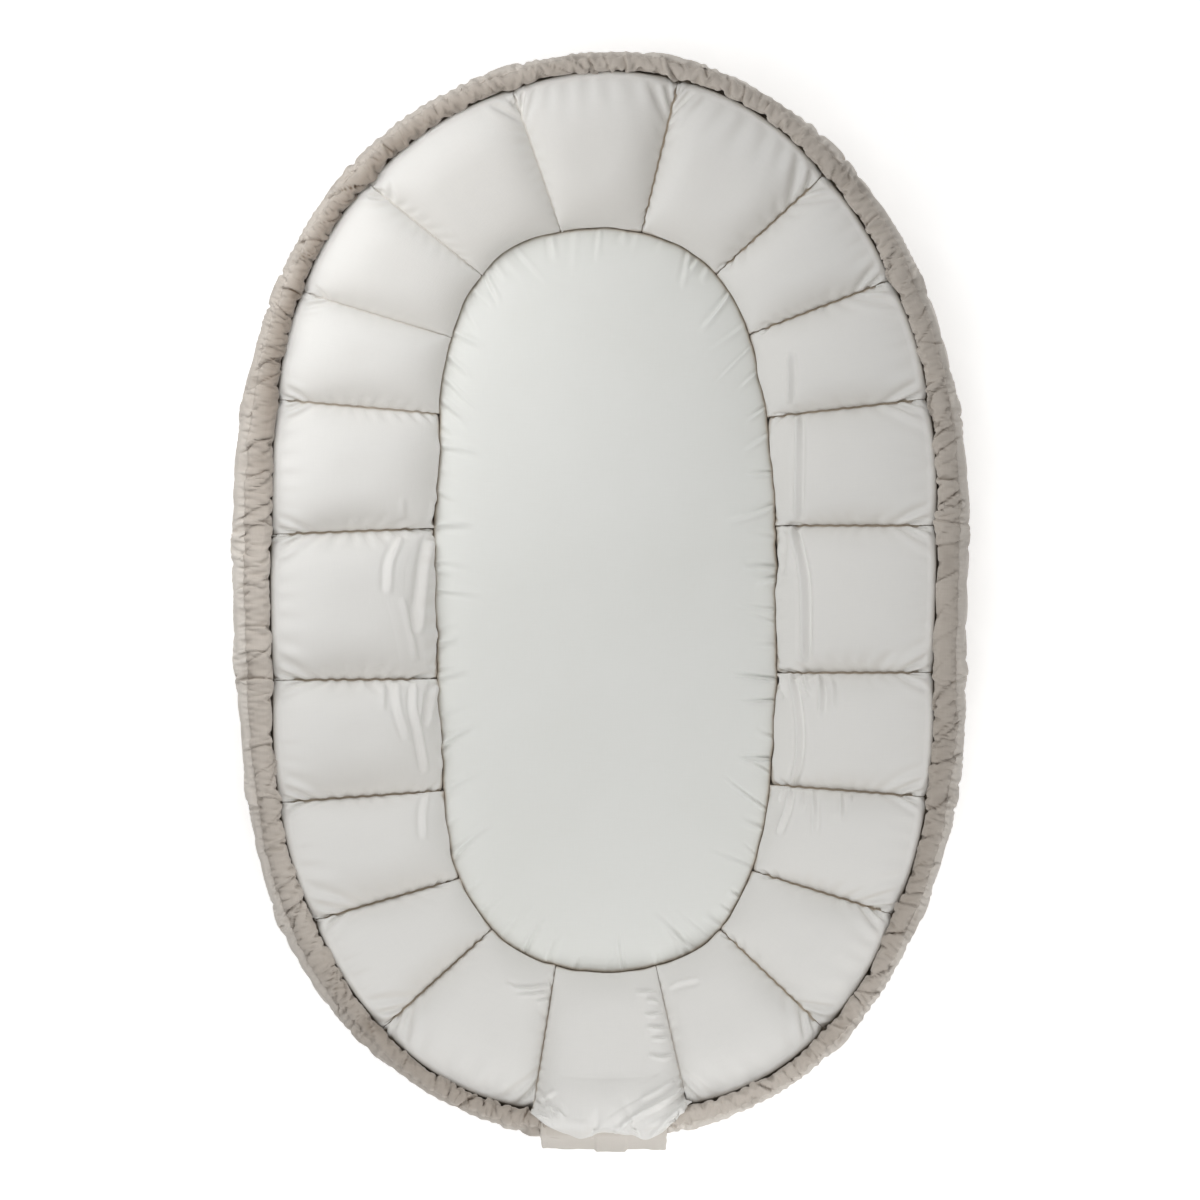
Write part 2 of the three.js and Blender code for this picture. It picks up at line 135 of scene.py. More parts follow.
def rows(points, n, spacing=None, wall=False):
    """n points along a smooth curve through the control points, evenly spaced, or at the shares given. With wall the first
    number is a share across the wall, 0 at the mattress, 1 at the casing and 2 at the outline, spaced as on a wall 125 + 21 mm wide."""
    p = np.array(points, float)
    if wall:
        p[:, 0] = np.where(p[:, 0] <= 1, p[:, 0] * 125, 125 + (p[:, 0] - 1) * 21)
    q = np.vstack([2 * p[0] - p[1], p, 2 * p[-1] - p[-2]])
    fine = []
    for i in range(1, len(q) - 2):
        t = np.linspace(0, 1, 24, endpoint=False)[:, None]
        a, b, c, e = q[i - 1], q[i], q[i + 1], q[i + 2]
        fine.append(0.5 * (2 * b + (c - a) * t + (2 * a - 5 * b + 4 * c - e) * t**2 + (3 * b - 3 * c + e - a) * t**3))
    fine = np.vstack(fine + [p[-1:]])
    run = np.concatenate([[0], np.cumsum(np.linalg.norm(np.diff(fine, axis=0), axis=1))])
    at = (np.linspace(0, 1, n) if spacing is None else spacing) * run[-1]
    out = np.stack([np.interp(at, run, fine[:, k]) for k in range(p.shape[1])], -1)
    if wall:
        out[:, 0] = np.where(out[:, 0] <= 125, out[:, 0] / 125, 1 + (out[:, 0] - 125) / 21)
    return out


def smooth_noise(x, wave, seed, octaves=2):
    """Smooth seeded noise of one variable, about -1 to 1."""
    out = np.zeros_like(np.asarray(x, float))
    amp, total = 1.0, 0.0
    for o in range(octaves):
        r = np.random.default_rng(seed + 97 * o)
        table = r.uniform(-1, 1, 4096)
        y = np.asarray(x, float) / wave * 2**o
        i = np.floor(y).astype(int)
        f = y - i
        f = f * f * (3 - 2 * f)
        out += amp * (table[i % 4096] * (1 - f) + table[(i + 1) % 4096] * f)
        total += amp
        amp *= 0.5
    return out / total


def noise2(x, y, wave, seed, octaves=2):
    """Smooth seeded noise of two variables, about -1 to 1."""
    out = np.zeros(np.broadcast(x, y).shape)
    amp, total = 1.0, 0.0
    for o in range(octaves):
        r = np.random.default_rng(seed + 131 * o)
        table = r.uniform(-1, 1, (512, 512))
        u, v = np.asarray(x, float) / wave * 2**o, np.asarray(y, float) / wave * 2**o
        i, j = np.floor(u).astype(int), np.floor(v).astype(int)
        f, g = u - i, v - j
        f, g = f * f * (3 - 2 * f), g * g * (3 - 2 * g)
        a, b = table[i % 512, j % 512], table[(i + 1) % 512, j % 512]
        c, d = table[i % 512, (j + 1) % 512], table[(i + 1) % 512, (j + 1) % 512]
        out += amp * ((a * (1 - f) + b * f) * (1 - g) + (c * (1 - f) + d * f) * g)
        total += amp
        amp *= 0.5
    return out / total


# ---------------------------------------------------------------- cloth
class Cloth:
    """A rectangular piece of cloth as a grid of points, relaxed by moving points until its threads have their own length again.
    X is (columns, rows, 3) in mm. rest_u is the thread length between columns, rest_v between rows. weight 0 holds a point."""

    def __init__(self, X, rest_u, rest_v, weight, shear=0.35, bend=0.25, squeeze=0.75):
        self.X = X.astype(F)
        self.P = self.X.copy()
        self.w = weight.astype(F)[..., None]
        self.shear, self.bend, self.squeeze = shear, bend, squeeze
        ru, rv = rest_u.astype(F), rest_v.astype(F)
        n, m = X.shape[:2]
        self.batches = []
        for p in (0, 1):
            self._add((slice(p, n - 1, 2), slice(0, m)), (1, 0), ru[p : n - 1 : 2, :], 1.0, squeeze)
            self._add((slice(0, n), slice(p, m - 1, 2)), (0, 1), rv[:, p : m - 1 : 2], 1.0, squeeze)
        mu = 0.5 * (ru[:, 1:] + ru[:, :-1])
        mv = 0.5 * (rv[1:, :] + rv[:-1, :])
        diag = np.sqrt(mu**2 + mv**2)
        for p in (0, 1):
            self._add((slice(p, n - 1, 2), slice(0, m - 1)), (1, 1), diag[p::2, :], shear, shear)
            self._add((slice(p, n - 1, 2), slice(1, m)), (1, -1), diag[p::2, :], shear, shear)
        if bend > 0:
            for p in (0, 1):
                for q in (0, 2):
                    a = slice(p + q, n - 2, 4)
                    k = len(range(*a.indices(n)))
                    if k:
                        self._add((a, slice(0, m)), (2, 0), (ru[p + q : n - 2 : 4, :] + ru[p + q + 1 : n - 1 : 4, :]), 0.0, bend)
                    a = slice(p + q, m - 2, 4)
                    k = len(range(*a.indices(m)))
                    if k:
                        self._add((slice(0, n), a), (0, 2), (rv[:, p + q : m - 2 : 4] + rv[:, p + q + 1 : m - 1 : 4]), 0.0, bend)

    def _add(self, where, step, rest, pull, push):
        a, b = where, tuple(slice(s.start + d, s.stop + d, s.step) for s, d in zip(where, step))
        wa, wb = self.w[a], self.w[b]
        total = wa + wb
        total[total == 0] = 1
        self.batches.append((a, b, (wa / total).astype(F), (wb / total).astype(F), rest[..., None].astype(F), F(pull), F(push)))

    def _solve(self):
        X = self.X
        for a, b, fa, fb, rest, pull, push in self.batches:
            d = X[b] - X[a]
            length = np.sqrt(np.einsum("ijk,ijk->ij", d, d))[..., None] + F(1e-6)
            error = length - rest
            c = d * (error / length * np.where(error > 0, pull, push))
            X[a] += fa * c
            X[b] -= fb * c

    def normals(self):
        X = self.X
        du, dv = np.empty_like(X), np.empty_like(X)
        du[1:-1] = X[2:] - X[:-2]
        du[0], du[-1] = X[1] - X[0], X[-1] - X[-2]
        dv[:, 1:-1] = X[:, 2:] - X[:, :-2]
        dv[:, 0], dv[:, -1] = X[:, 1] - X[:, 0], X[:, -1] - X[:, -2]
        n = np.cross(du, dv)
        return n / (np.linalg.norm(n, axis=-1, keepdims=True) + F(1e-6))

    def run(self, steps, inner=4, push=0.0, keep=0.92, touch=None, pull=None):
        """push is the outward move of one step, in mm. touch(cloth) keeps points out of what they may not enter."""
        for k in range(steps):
            old = self.X.copy()
            v = (self.X - self.P) * F(keep)
            limit = np.linalg.norm(v, axis=-1, keepdims=True)
            v *= np.minimum(1, 3.0 / (limit + 1e-6))
            if callable(push):
                v = v + push(self, k / max(1, steps - 1))
            else:
                v = v + self.normals() * F(push)
            if pull is not None:
                v = v + np.array(pull, F)
            self.X += v * (self.w > 0)
            self.P = old
            for _ in range(inner):
                self._solve()
            if touch is not None:
                touch(self)
        return self.X


# ---------------------------------------------------------------- the rim tunnel and the shell: one gathered beige cloth
# Columns run clockwise from the middle of the foot once round to it again. Rows run from under the tunnel's inner side,
# over its top, through the gathering stitches, over the shoulder and down the shell to the base panel.
SHELL_FULL = [(1.60, 123.5), (1.82, 123.8), (1.965, 120), (2.0, 113), (1.95, 104), (1.87, 92), (1.60, 72), (1.12, 43), (0.92, 21), (0.72, 7), (0.5, 1.2), (0.28, 0.7), (0.03, 0.7)]
SHELL_SEAM = [(1.60, 123.5), (1.81, 123.0), (1.935, 118.0), (1.88, 111), (1.54, 103), (1.16, 94), (0.90, 80), (0.72, 61), (0.54, 42), (0.36, 26), (0.2, 13), (0.1, 6), (0.03, 2.0)]
TUNNEL = [(0.22, 108), (0.06, 110.5), (-0.02, 116), (0.02, 123), (0.15, 128.5), (0.32, 130), (0.48, 128), (0.60, 123.5)]
OUT_PER = 80
N_TUN, N_OUT = ((16, 52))
STITCH = N_TUN - 1


def lifted(z, low):
    return np.where(z < 10, z, 10 + (z - 10) * low)


def pinches(run, low, high, seed, width, extra=()):
    """1 at irregular points low to high mm apart, fading to 0 over about width mm."""
    g = np.random.default_rng(seed)
    at = np.cumsum(g.uniform(low, high, 600)) - 50
    at = np.sort(np.concatenate([at[at < run[-1] + 50], np.array(extra, float)]))
    k = np.clip(np.searchsorted(at, run), 1, len(at) - 1)
    near = np.minimum(np.abs(run - at[k - 1]), np.abs(run - at[k]))
    return np.exp(-near / width)


def simulate_outside():
    n = CHAMBERS * OUT_PER + 1
    s = 9.5 + np.arange(n) / OUT_PER
    inner, d, w1, w2, low = sections(s)
    k = np.minimum(np.floor(s + 1e-9), 29).astype(int)
    u = s - k
    chamber = k % CHAMBERS
    share = np.linspace(0, 1, N_OUT) ** 1.4
    mid, seam = rows(SHELL_FULL, N_OUT, share, wall=True), rows(SHELL_SEAM, N_OUT, share, wall=True)
    tunnel = rows(TUNNEL, N_TUN)
    p = np.sqrt(np.clip(1 - np.abs(2 * u - 1) ** 3, 0, 1))[:, None]
    rho = seam[None, :, 0] + (mid[:, 0] - seam[:, 0])[None, :] * p
    zs = seam[None, :, 1] + (mid[:, 1] - seam[:, 1])[None, :] * p
    # the foot chamber is pressed flat behind the cord lock
    foot = np.where(chamber == 9, np.clip(np.minimum(u, 1 - u) * 6, 0, 1), 0)[:, None]
    rho = np.where(rho > 1, 1 + (rho - 1) * (1 - 0.42 * foot * np.clip((np.arange(N_OUT) - 1) / 6, 0, 1)[None, :]), rho)
    zs = zs - 5.5 * foot * np.clip((zs - 60) / 50, 0, 1)
    dist = np.where(rho <= 1, rho * w1[:, None], w1[:, None] + (rho - 1) * w2[:, None])
    dt = w1[:, None] + tunnel[None, :-1, 0] * w2[:, None]
    dist = np.concatenate([dt, dist], 1)
    z = np.concatenate([np.broadcast_to(tunnel[:-1, 1], (n, N_TUN - 1)), zs], 1)
    z = lifted(z, low[:, None])
    m = z.shape[1]
    X = np.empty((n, m, 3))
    X[..., :2] = inner[:, None, :] + d[:, None, :] * dist[..., None]
    X[..., 2] = z

    # thread lengths: the gathered line is cut longer than it ends up, and its fullness fades down the shell
    line = np.linalg.norm(np.diff(X[:, STITCH], axis=0), axis=1)
    um = s[:-1] + 0.5 / OUT_PER
    full = 1.12 + 0.09 * smooth_noise(um, 0.34, 11)
    gathered = line * full
    own = np.linalg.norm(np.diff(X, axis=0), axis=2)
    fade = np.clip((np.arange(m) - STITCH) / (0.52 * N_OUT), 0, 1)
    fade = fade * fade * (3 - 2 * fade)
    base = np.maximum(own, own[:, STITCH : STITCH + 1]) * 1.06
    rest_u = gathered[:, None] * (1 - fade) + np.maximum(base, gathered[:, None] * (1 - fade)) * fade
    calm = np.linspace(0.45, 1.0, N_TUN)[:-1][None, :]
    rest_u[:, : N_TUN - 1] = line[:, None] * (1 + (full[:, None] - 1) * calm)
    seg = np.linalg.norm(np.diff(X, axis=1), axis=2)
    # down the shell the cloth is as long at the seams as between them, apart from what the stitching takes up
    rest_v = seg * 1.03
    cuts = [i for i in range(n) if abs(s[i] - round(s[i])) < 1e-6]
    mids = [(cuts[i] + cuts[i + 1]) // 2 for i in range(len(cuts) - 1)]
    ends = [0] + cuts + [n - 1]
    mids = [cuts[0] // 2] + mids + [(cuts[-1] + n - 1) // 2]
    one = np.array([0.55 * seg[c] + 0.45 * 0.5 * (seg[cuts[max(i - 1, 0)]] + seg[cuts[min(i, len(cuts) - 1)]]) for i, c in enumerate(mids)])
    at = s[mids]
    for j in range(N_TUN - 1, m - 1):
        rest_v[:, j] = np.interp(s, at, one[:, j]) * 1.015

    w = np.ones((n, m))
    w[:, 0] = 0
    w[:, -1] = 0
    w[0] = w[-1] = 0
    seam_cols = np.arange(n)[np.abs(s - np.round(s)) < 1e-6]
    low_rows = np.arange(m) > STITCH + int(0.30 * N_OUT)
    for c in seam_cols:
        w[c, low_rows] = 0
    w[:, STITCH] = 0.35

    home = X[:, STITCH].astype(F).copy()
    X0 = X.astype(F).copy()
    # first folds, from which the cloth finds its own: short ones by the stitches, longer ones away from them
    run = np.concatenate([[0], np.cumsum(line)])
    gather = np.clip(1 - fade, 0, 1)[None, :]
    away = np.abs(np.arange(m) - STITCH)
    near = np.exp(-((away / 4.0) ** 2))[None, :]
    slant = 0.55 * (np.arange(m) - STITCH)[None, :] * smooth_noise(run, 60, 41)[:, None]
    fine = noise2(run[:, None] + slant, 0.05 * np.arange(m)[None, :], 5.5, 31)
    broad = noise2(run[:, None] + slant, 0.12 * np.arange(m)[None, :], 13.0, 33)
    fold = fine * near + broad * (1 - near)
    X[..., 2] += 1.3 * fold * gather * (w > 0)
    side = noise2(run[:, None] + 400, 0.2 * np.arange(m)[None, :], 14.0, 32)
    X[..., :2] += d[:, None, :] * (1.3 * side * gather * (w > 0))[..., None]

    c = Cloth(X, rest_u, rest_v, w, shear=0.30, bend=0.42, squeeze=0.8)
    c0 = Cloth.__new__(Cloth)
    c0.X = X0
    n0 = Cloth.normals(c0)
    # a running stitch draws the line together in short pulls
    dip = np.clip(smooth_noise(run, 5.2, 77, 1) * 1.4, 0, 1)
    home[:, 2] -= (1.0 + 0.6 * dip).astype(F)
    hold = (0.22 + 0.35 * dip).astype(F)[:, None]
    tight_in = pinches(run, 14, 64, 501, 4.0)
    tight_out = pinches(run, 17, 36, 502, 5.0)
    # between two chambers the casing swells in towards the seam
    apart = np.abs(s - np.round(s)) * np.linalg.norm(np.gradient(inner + d * w1[:, None], s, axis=0), axis=1)
    swell = np.exp(-((apart / 7.0) ** 2))
    billow = (1 - 0.22 * tight_in * (1 - swell) + 0.10 * swell)[:, None].astype(F)
    inner_lim = (w1 - 1.9 + 1.7 * tight_in * (1 - swell) - 2.4 * swell + 0.8 * smooth_noise(run, 27.0, 504))[:, None].astype(F)
    outline = w1 + w2 + 0.7 - 1.9 * tight_out + 0.5 * smooth_noise(run, 34.0, 503) + 2.0 * np.exp(-(((s - 10.05) / 0.3) ** 2))
    outer_lim = outline[:, None].astype(F)

    ix, iy = inner[:, :1].astype(F), inner[:, 1:].astype(F)
    dx, dy = d[:, :1].astype(F), d[:, 1:].astype(F)
    W1, W2 = w1[:, None].astype(F), w2[:, None].astype(F)
    core_r, core_z = W1 + 0.30 * W2 - F(1.6) * swell[:, None].astype(F), lifted(np.full_like(w1, 119.0), low)[:, None].astype(F)
    top = lifted(np.full_like(w1, 132.0), low)[:, None].astype(F)
    # seam planes, with their sides
    cb = k.astype(float)
    ia, da = sections(cb)[:2]
    ib, db = sections(cb + 1)[:2]
    ia, da, ib, db = (q.astype(F) for q in (ia, da, ib, db))
    ta = np.stack([da[:, 1], -da[:, 0]], -1)
    tb = np.stack([db[:, 1], -db[:, 0]], -1)
    below = slice(STITCH + int(0.12 * N_OUT), m)
    free = w > 0
    tun = slice(0, N_TUN - 2)
    strip = slice(STITCH, m)
    half = F(0.29) * W2 * billow
    shell = slice(STITCH + 2, m)

    def touch(cl):
        X = cl.X
        x, y, z = X[..., 0], X[..., 1], X[..., 2]
        r = (x - ix) * dx + (y - iy) * dy
        # the stitches
        X[:, STITCH] += hold * (home - X[:, STITCH]) * (cl.w[:, STITCH] > 0)
        # distances along the section
        r0 = r.copy()
        r[:, tun] = np.maximum(r[:, tun], inner_lim)
        r[:, strip] = np.minimum(r[:, strip], outer_lim)
        # cord and hem allowance in the tunnel keep it open
        a, b = r[:, tun] - core_r, z[:, tun] - core_z
        q = np.sqrt((a / half) ** 2 + (b / (F(9.0) * billow)) ** 2) + F(1e-6)
        f = np.where(q < 1, 1 / q, 1)
        r[:, tun] = core_r + a * f
        z[:, tun] = core_z + b * f
        move = (r - r0) * free
        x += move * dx
        y += move * dy
        # the filling is behind the shell
        deep = np.einsum("ijk,ijk->ij", X[:, shell] - X0[:, shell], n0[:, shell])
        X[:, shell] += (np.maximum(-F(2.5) - deep, 0) * free[:, shell])[..., None] * n0[:, shell]
        np.minimum(z, top, out=z)
        np.maximum(z, F(0.7), out=z)
        # neighbouring chambers press on each other along the seams
        xb, yb = x[:, below], y[:, below]
        t = (xb - ia[:, :1]) * ta[:, :1] + (yb - ia[:, 1:]) * ta[:, 1:]
        e = np.maximum(F(0.3) - t, 0) * free[:, below]
        xb += e * ta[:, :1]
        yb += e * ta[:, 1:]
        t = (xb - ib[:, :1]) * tb[:, :1] + (yb - ib[:, 1:]) * tb[:, 1:]
        e = np.minimum(-F(0.3) - t, 0) * free[:, below]
        xb += e * tb[:, :1]
        yb += e * tb[:, 1:]

    steps = 230
    c.run(steps, inner=3, push=0.07, keep=0.90, touch=touch)
    c.run(12, inner=6, push=0.03, keep=0.3, touch=touch)
    X = c.X.astype(np.float64)
    # the shoulder is worked out to one even outline all round
    r = ((X[..., :2] - inner[:, None]) * d[:, None]).sum(-1)
    need = np.clip(outline - r.max(1), -2.5, 3.5)
    need *= np.clip((np.abs(s - 9.5) - 0.25) / 0.15, 0, 1) * np.clip((np.abs(s - 29.5) - 0.25) / 0.15, 0, 1)
    rows_at = np.arange(m) - STITCH
    part = np.clip((rows_at + 3) / 9.0, 0, 1) * np.clip((36 - rows_at) / 20.0, 0, 1)
    part = part * part * (3 - 2 * part)
    X[..., :2] += d[:, None, :] * (need[:, None] * part[None, :])[..., None]
    return dict(X=X, s=s, inner=inner, d=d, w1=w1, w2=w2, low=low, u=u, chamber=chamber, run=run, rest_u=rest_u, rest_v=rest_v)


# ---------------------------------------------------------------- the lining: 20 stuffed chambers of cream cotton
LIN_FULL = [(0.02, 5.8), (-0.004, 14), (-0.005, 23), (-0.028, 32), (-0.014, 39), (0.062, 48.5), (0.24, 64), (0.49, 82), (0.73, 98.8), (0.87, 109.6), (0.94, 113.8), (0.98, 114.4), (1.003, 111.5), (1.016, 104), (1.06, 97), (1.16, 95)]
LIN_SEAM = [(0.02, 5.8), (0.015, 9), (0.02, 18), (0.06, 31), (0.27, 48.5), (0.565, 66), (0.785, 84), (0.905, 95), (0.955, 98.5), (1.0, 97), (1.05, 94.5), (1.16, 93)]
# how deep each seam is drawn in, seam by seam from the one right of the head chamber
SEAM_DEPTH = [0.74, 0.76, 0.78, 0.80, 0.80, 0.80, 0.80, 0.80, 0.70, 0.46, 0.62, 0.74, 0.76, 0.76, 0.76, 0.72, 0.64, 0.42, 0.36, 0.46]
LIN_PER, N_LIN = ((52, 66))


FULL_U, SHARE_V = 1.035, 0.6


def casing_edge(out, s):
    """How far out the casing's inner side lies from the mattress edge at wall positions s, in mm."""
    low = out["edge"]
    low = np.minimum(low, np.minimum(np.roll(low, 1), np.roll(low, -1)))
    so = np.concatenate([out["edge_s"] - 20, out["edge_s"], out["edge_s"] + 20])
    return np.interp(s, so, np.concatenate([low, low, low]))


def crease_wave(a):
    """How far the line where the mattress meets the chambers wanders outwards, in mm, at polar angles a."""
    a = np.mod(a, 2 * np.pi)
    return 1.4 * noise_round(a, 2 * np.pi, 0.14, 651) + 0.75 * noise_round(a, 2 * np.pi, 0.05, 652)


def crevice(s):
    """The dark gap between the stuffed chambers and the rim, in mm: open on the right and at the ends, shut on the left."""
    at = [9.5, 10.5, 11.6, 12.6, 14.0, 16.2, 17.2, 18.5, 19.6, 20.6, 22.0, 24.5, 26.5, 28.0, 29.5]
    gap = [0.2, 0.2, 0.2, -0.5, -0.9, -0.6, 0.2, 0.2, -0.2, 0.0, 0.2, 0.4, 1.0, 1.5, 0.4]
    return np.interp(s, at, gap) + 0.9 * smooth_noise(s, 0.36, 640) + 0.3 * smooth_noise(s, 0.13, 641)


def simulate_lining(out, s_from, s_to, per, seed, foot=False):
    n = int(round((s_to - s_from) * per)) + 1
    # columns lie close together beside the seams
    t = np.arange(n) / per
    k = np.minimum(np.floor(t + 1e-9), s_to - s_from - 1).astype(int)
    u = t - k
    u = u - 0.62 * np.sin(2 * np.pi * u) / (2 * np.pi)
    k = k + s_from
    s = k + u
    inner, d, w1, w2, low = sections(s)
    m = N_LIN + (14 if foot else 0)
    flat = (1 - np.abs(2 * u - 1) ** 3.6) ** 0.56
    if foot:
        full = LIN_FULL[:9] + [(0.88, 110), (1.0, 121), (1.10, 129.5), (1.36, 132.5), (1.66, 131)]
        seam = LIN_SEAM[:8] + [(0.95, 104), (0.98, 111), (1.0, 117), (1.0, 121)]
    else:
        full, seam = LIN_FULL, LIN_SEAM
    mid, sea = rows(full, m, wall=True), rows(seam, m, wall=True)
    p = flat[:, None]
    at_seam = np.arange(10) + 9 if foot else np.arange(21) + 9
    deep = np.interp(s, at_seam, [SEAM_DEPTH[q % CHAMBERS] for q in at_seam])[:, None]
    p = 1 - (1 - p) * deep
    rho = sea[None, :, 0] + (mid[:, 0] - sea[:, 0])[None, :] * p
    z = sea[None, :, 1] + (mid[:, 1] - sea[:, 1])[None, :] * p
    dist = np.where(rho <= 1, rho * w1[:, None], w1[:, None] + (rho - 1) * w2[:, None])
    z = lifted(z, low[:, None])
    X = np.empty((n, m, 3))
    X[..., :2] = inner[:, None, :] + d[:, None, :] * dist[..., None]
    X[..., 2] = z
    wander = crease_wave(angle_at(SEAM_IN, s))[:, None]
    X[..., :2] += d[:, None, :] * (wander * np.clip((60 - z) / 20, 0, 1) * np.clip((z - 8) / 10, 0, 1))[..., None]
    if foot:
        # the lip that laps over the rim: its edge, from the right-hand seam to the left-hand one
        edge = np.array(FOOT_EDGE)
        t = np.concatenate([[0], np.cumsum(np.linalg.norm(np.diff(edge[:, :2], axis=0), axis=1))])
        e = rows([tuple(q) for q in edge], 200)
        te = np.concatenate([[0], np.cumsum(np.linalg.norm(np.diff(e[:, :2], axis=0), axis=1))])
        E = np.stack([np.interp(u * te[-1], te, e[:, j]) for j in range(3)], -1)
        ramp = np.clip((np.arange(m) - (m - 24)) / 23, 0, 1) ** 1.6
        X[..., :] += (E - X[:, -1])[:, None, :] * ramp[None, :, None]

    seg = np.linalg.norm(np.diff(X, axis=1), axis=2)
    k_of = k - k.min()
    col = [int(round(c * per)) for c in range(int(round(s_to - s_from)) + 1)]
    half = per // 2
    one = np.array([SHARE_V * seg[c + half] + (1 - SHARE_V) * 0.5 * (seg[c] + seg[c + per]) for c in col[:-1]])
    side = np.array([0.5 * (one[max(c - 1, 0)] + one[min(c, len(one) - 1)]) for c in range(len(col))])
    t = u[:, None]
    rest_v = np.where(t < 0.5, side[k_of] * (0.5 - t) * 2 + one[k_of] * t * 2, one[k_of] * (1 - t) * 2 + side[np.minimum(k_of + 1, len(side) - 1)] * (t - 0.5) * 2)

    # the straight width of each chamber, row by row, and how much wider the cloth is cut
    width = np.array([np.linalg.norm(X[col[c + 1]] - X[col[c]], axis=1) for c in range(len(col) - 1)])[k_of]
    su = np.linalg.norm(np.diff(X, axis=0), axis=2)
    arc = np.array([su[col[c] : col[c + 1]].sum(0) for c in range(len(col) - 1)])
    # the shallow seams are hardly drawn in
    soft = np.clip((0.62 - deep[:-1]) / 0.2, 0, 1)
    rest_u = arc[k_of][:-1] * np.diff(s)[:, None] * (FULL_U - 0.028 * soft)

    g = np.random.default_rng(seed)
    w = np.ones((n, m))
    w[:, 0] = w[:, -1] = 0
    for c in col:
        w[c] = 0
    w[0] = w[-1] = 0

    # small gathers beside the seams and slow waves over the chambers, from which the cloth finds its own folds
    across = np.concatenate([[0], np.cumsum(seg.mean(0))])
    X0 = X.astype(F).copy()
    c0 = Cloth.__new__(Cloth)
    c0.X = X0
    n0 = Cloth.normals(c0)
    u_mm = np.minimum(u, 1 - u)[:, None] * width
    close = np.exp(-((u_mm / 9.0) ** 2))
    fine = noise2(across[None, :] + 300 * k_of[:, None] + 40 * (u > 0.5)[:, None], 0.05 * u_mm, 5.5, seed + 1)
    slow = noise2(X[..., 0], X[..., 1], 38.0, seed + 2)
    X = X + n0 * ((0.22 * fine * close + 1.2 * slow) * (w > 0))[..., None]

    c = Cloth(X, rest_u, rest_v, w, shear=0.30, bend=0.35, squeeze=0.75)
    free = (w > 0).astype(F)
    ix, iy = inner[:, :1].astype(F), inner[:, 1:].astype(F)
    dx, dy = d[:, :1].astype(F), d[:, 1:].astype(F)
    W1, W2 = w1[:, None].astype(F), w2[:, None].astype(F)
    case = (casing_edge(out, s) - 0.6 - crevice(s))[:, None].astype(F)
    ia, da = sections(k.astype(float))[:2]
    ib, db = sections(k.astype(float) + 1)[:2]
    ia, da, ib, db = (q.astype(F) for q in (ia, da, ib, db))
    ta = np.stack([da[:, 1], -da[:, 0]], -1)
    tb = np.stack([db[:, 1], -db[:, 0]], -1)
    ja = np.broadcast_to(across[None, :], (n, m))
    wave_a = (0.08 * noise2(ja, 900.0 * (k % CHAMBERS)[:, None], 17.0, 88)).astype(F)
    wave_b = (0.08 * noise2(ja, 900.0 * ((k + 1) % CHAMBERS)[:, None], 17.0, 88)).astype(F)
    gap = F(0.22)
    near_pad = wander.astype(F)
    hump_r, hump_z = W1 + F(0.30) * W2, lifted(np.full_like(w1, 117.0), low)[:, None].astype(F)
    # the casing is missing between its two mouths
    mouth = np.clip((np.abs(s - 9.485) - 0.12) / 0.07, 0, 1)[:, None].astype(F) if foot else None
    upper = slice(m - 26, m)
    body = slice(3, m - 4 if not foot else m - 22)

    def touch(cl):
        X = cl.X
        x, y, z = X[..., 0], X[..., 1], X[..., 2]
        r = (x - ix) * dx + (y - iy) * dy
        over = np.interp(z, (26, 28, 30, 32, 43), (0.3, 1.3, 3.1, 4.0, 4.0)).astype(F)
        move = np.where(z < 43, np.maximum(near_pad - F(0.6) - over - r, 0), 0)
        if foot:
            a = (r[:, upper] - hump_r) / (F(0.40) * W2 + F(2.5))
            top = hump_z + (F(12.0) + F(4.2) * mouth) * np.clip(1 - a * a, 0, 1) ** F(0.35)
            over = (r[:, upper] > W1 - F(3.0)) & (np.abs(a) < 1)
            z[:, upper] = np.where(over & (free[:, upper] > 0), np.maximum(z[:, upper], top), z[:, upper])
            z[:] = np.where(free > 0, np.minimum(z, F(130.4)), z)
        else:
            move = move + np.where(z > 97, np.minimum(case + F(1.4) * np.clip((F(106) - z) / F(9), 0, 1) - r, 0), 0)
            z[:] = np.where(free > 0, np.minimum(z, F(121.0)), z)
        move = move * free
        x += move * dx
        y += move * dy
        np.maximum(z, F(5.8), out=z)
        deep = np.einsum("ijk,ijk->ij", X[:, body] - X0[:, body], n0[:, body])
        X[:, body] += ((np.maximum(F(-2.0) - deep, 0) + np.minimum(F(9.0) - deep, 0) * F(0.3)) * free[:, body])[..., None] * n0[:, body]
        t = (x - ia[:, :1]) * ta[:, :1] + (y - ia[:, 1:]) * ta[:, 1:] - wave_a
        e = np.maximum(gap - t, 0) * free
        if foot:
            e[:, -20:] = 0
        x += e * ta[:, :1]
        y += e * ta[:, 1:]
        t = (x - ib[:, :1]) * tb[:, :1] + (y - ib[:, 1:]) * tb[:, 1:] - wave_b
        e = np.minimum(-gap - t, 0) * free
        if foot:
            e[:, -20:] = 0
        x += e * tb[:, :1]
        y += e * tb[:, 1:]

    c.run(150, inner=4, push=0.06, keep=0.90, touch=touch)
    c.run(70, inner=6, push=0.03, keep=0.80, touch=touch)
    c.run(12, inner=8, push=0.02, keep=0.3, touch=touch)
    X = c.X.astype(np.float64)
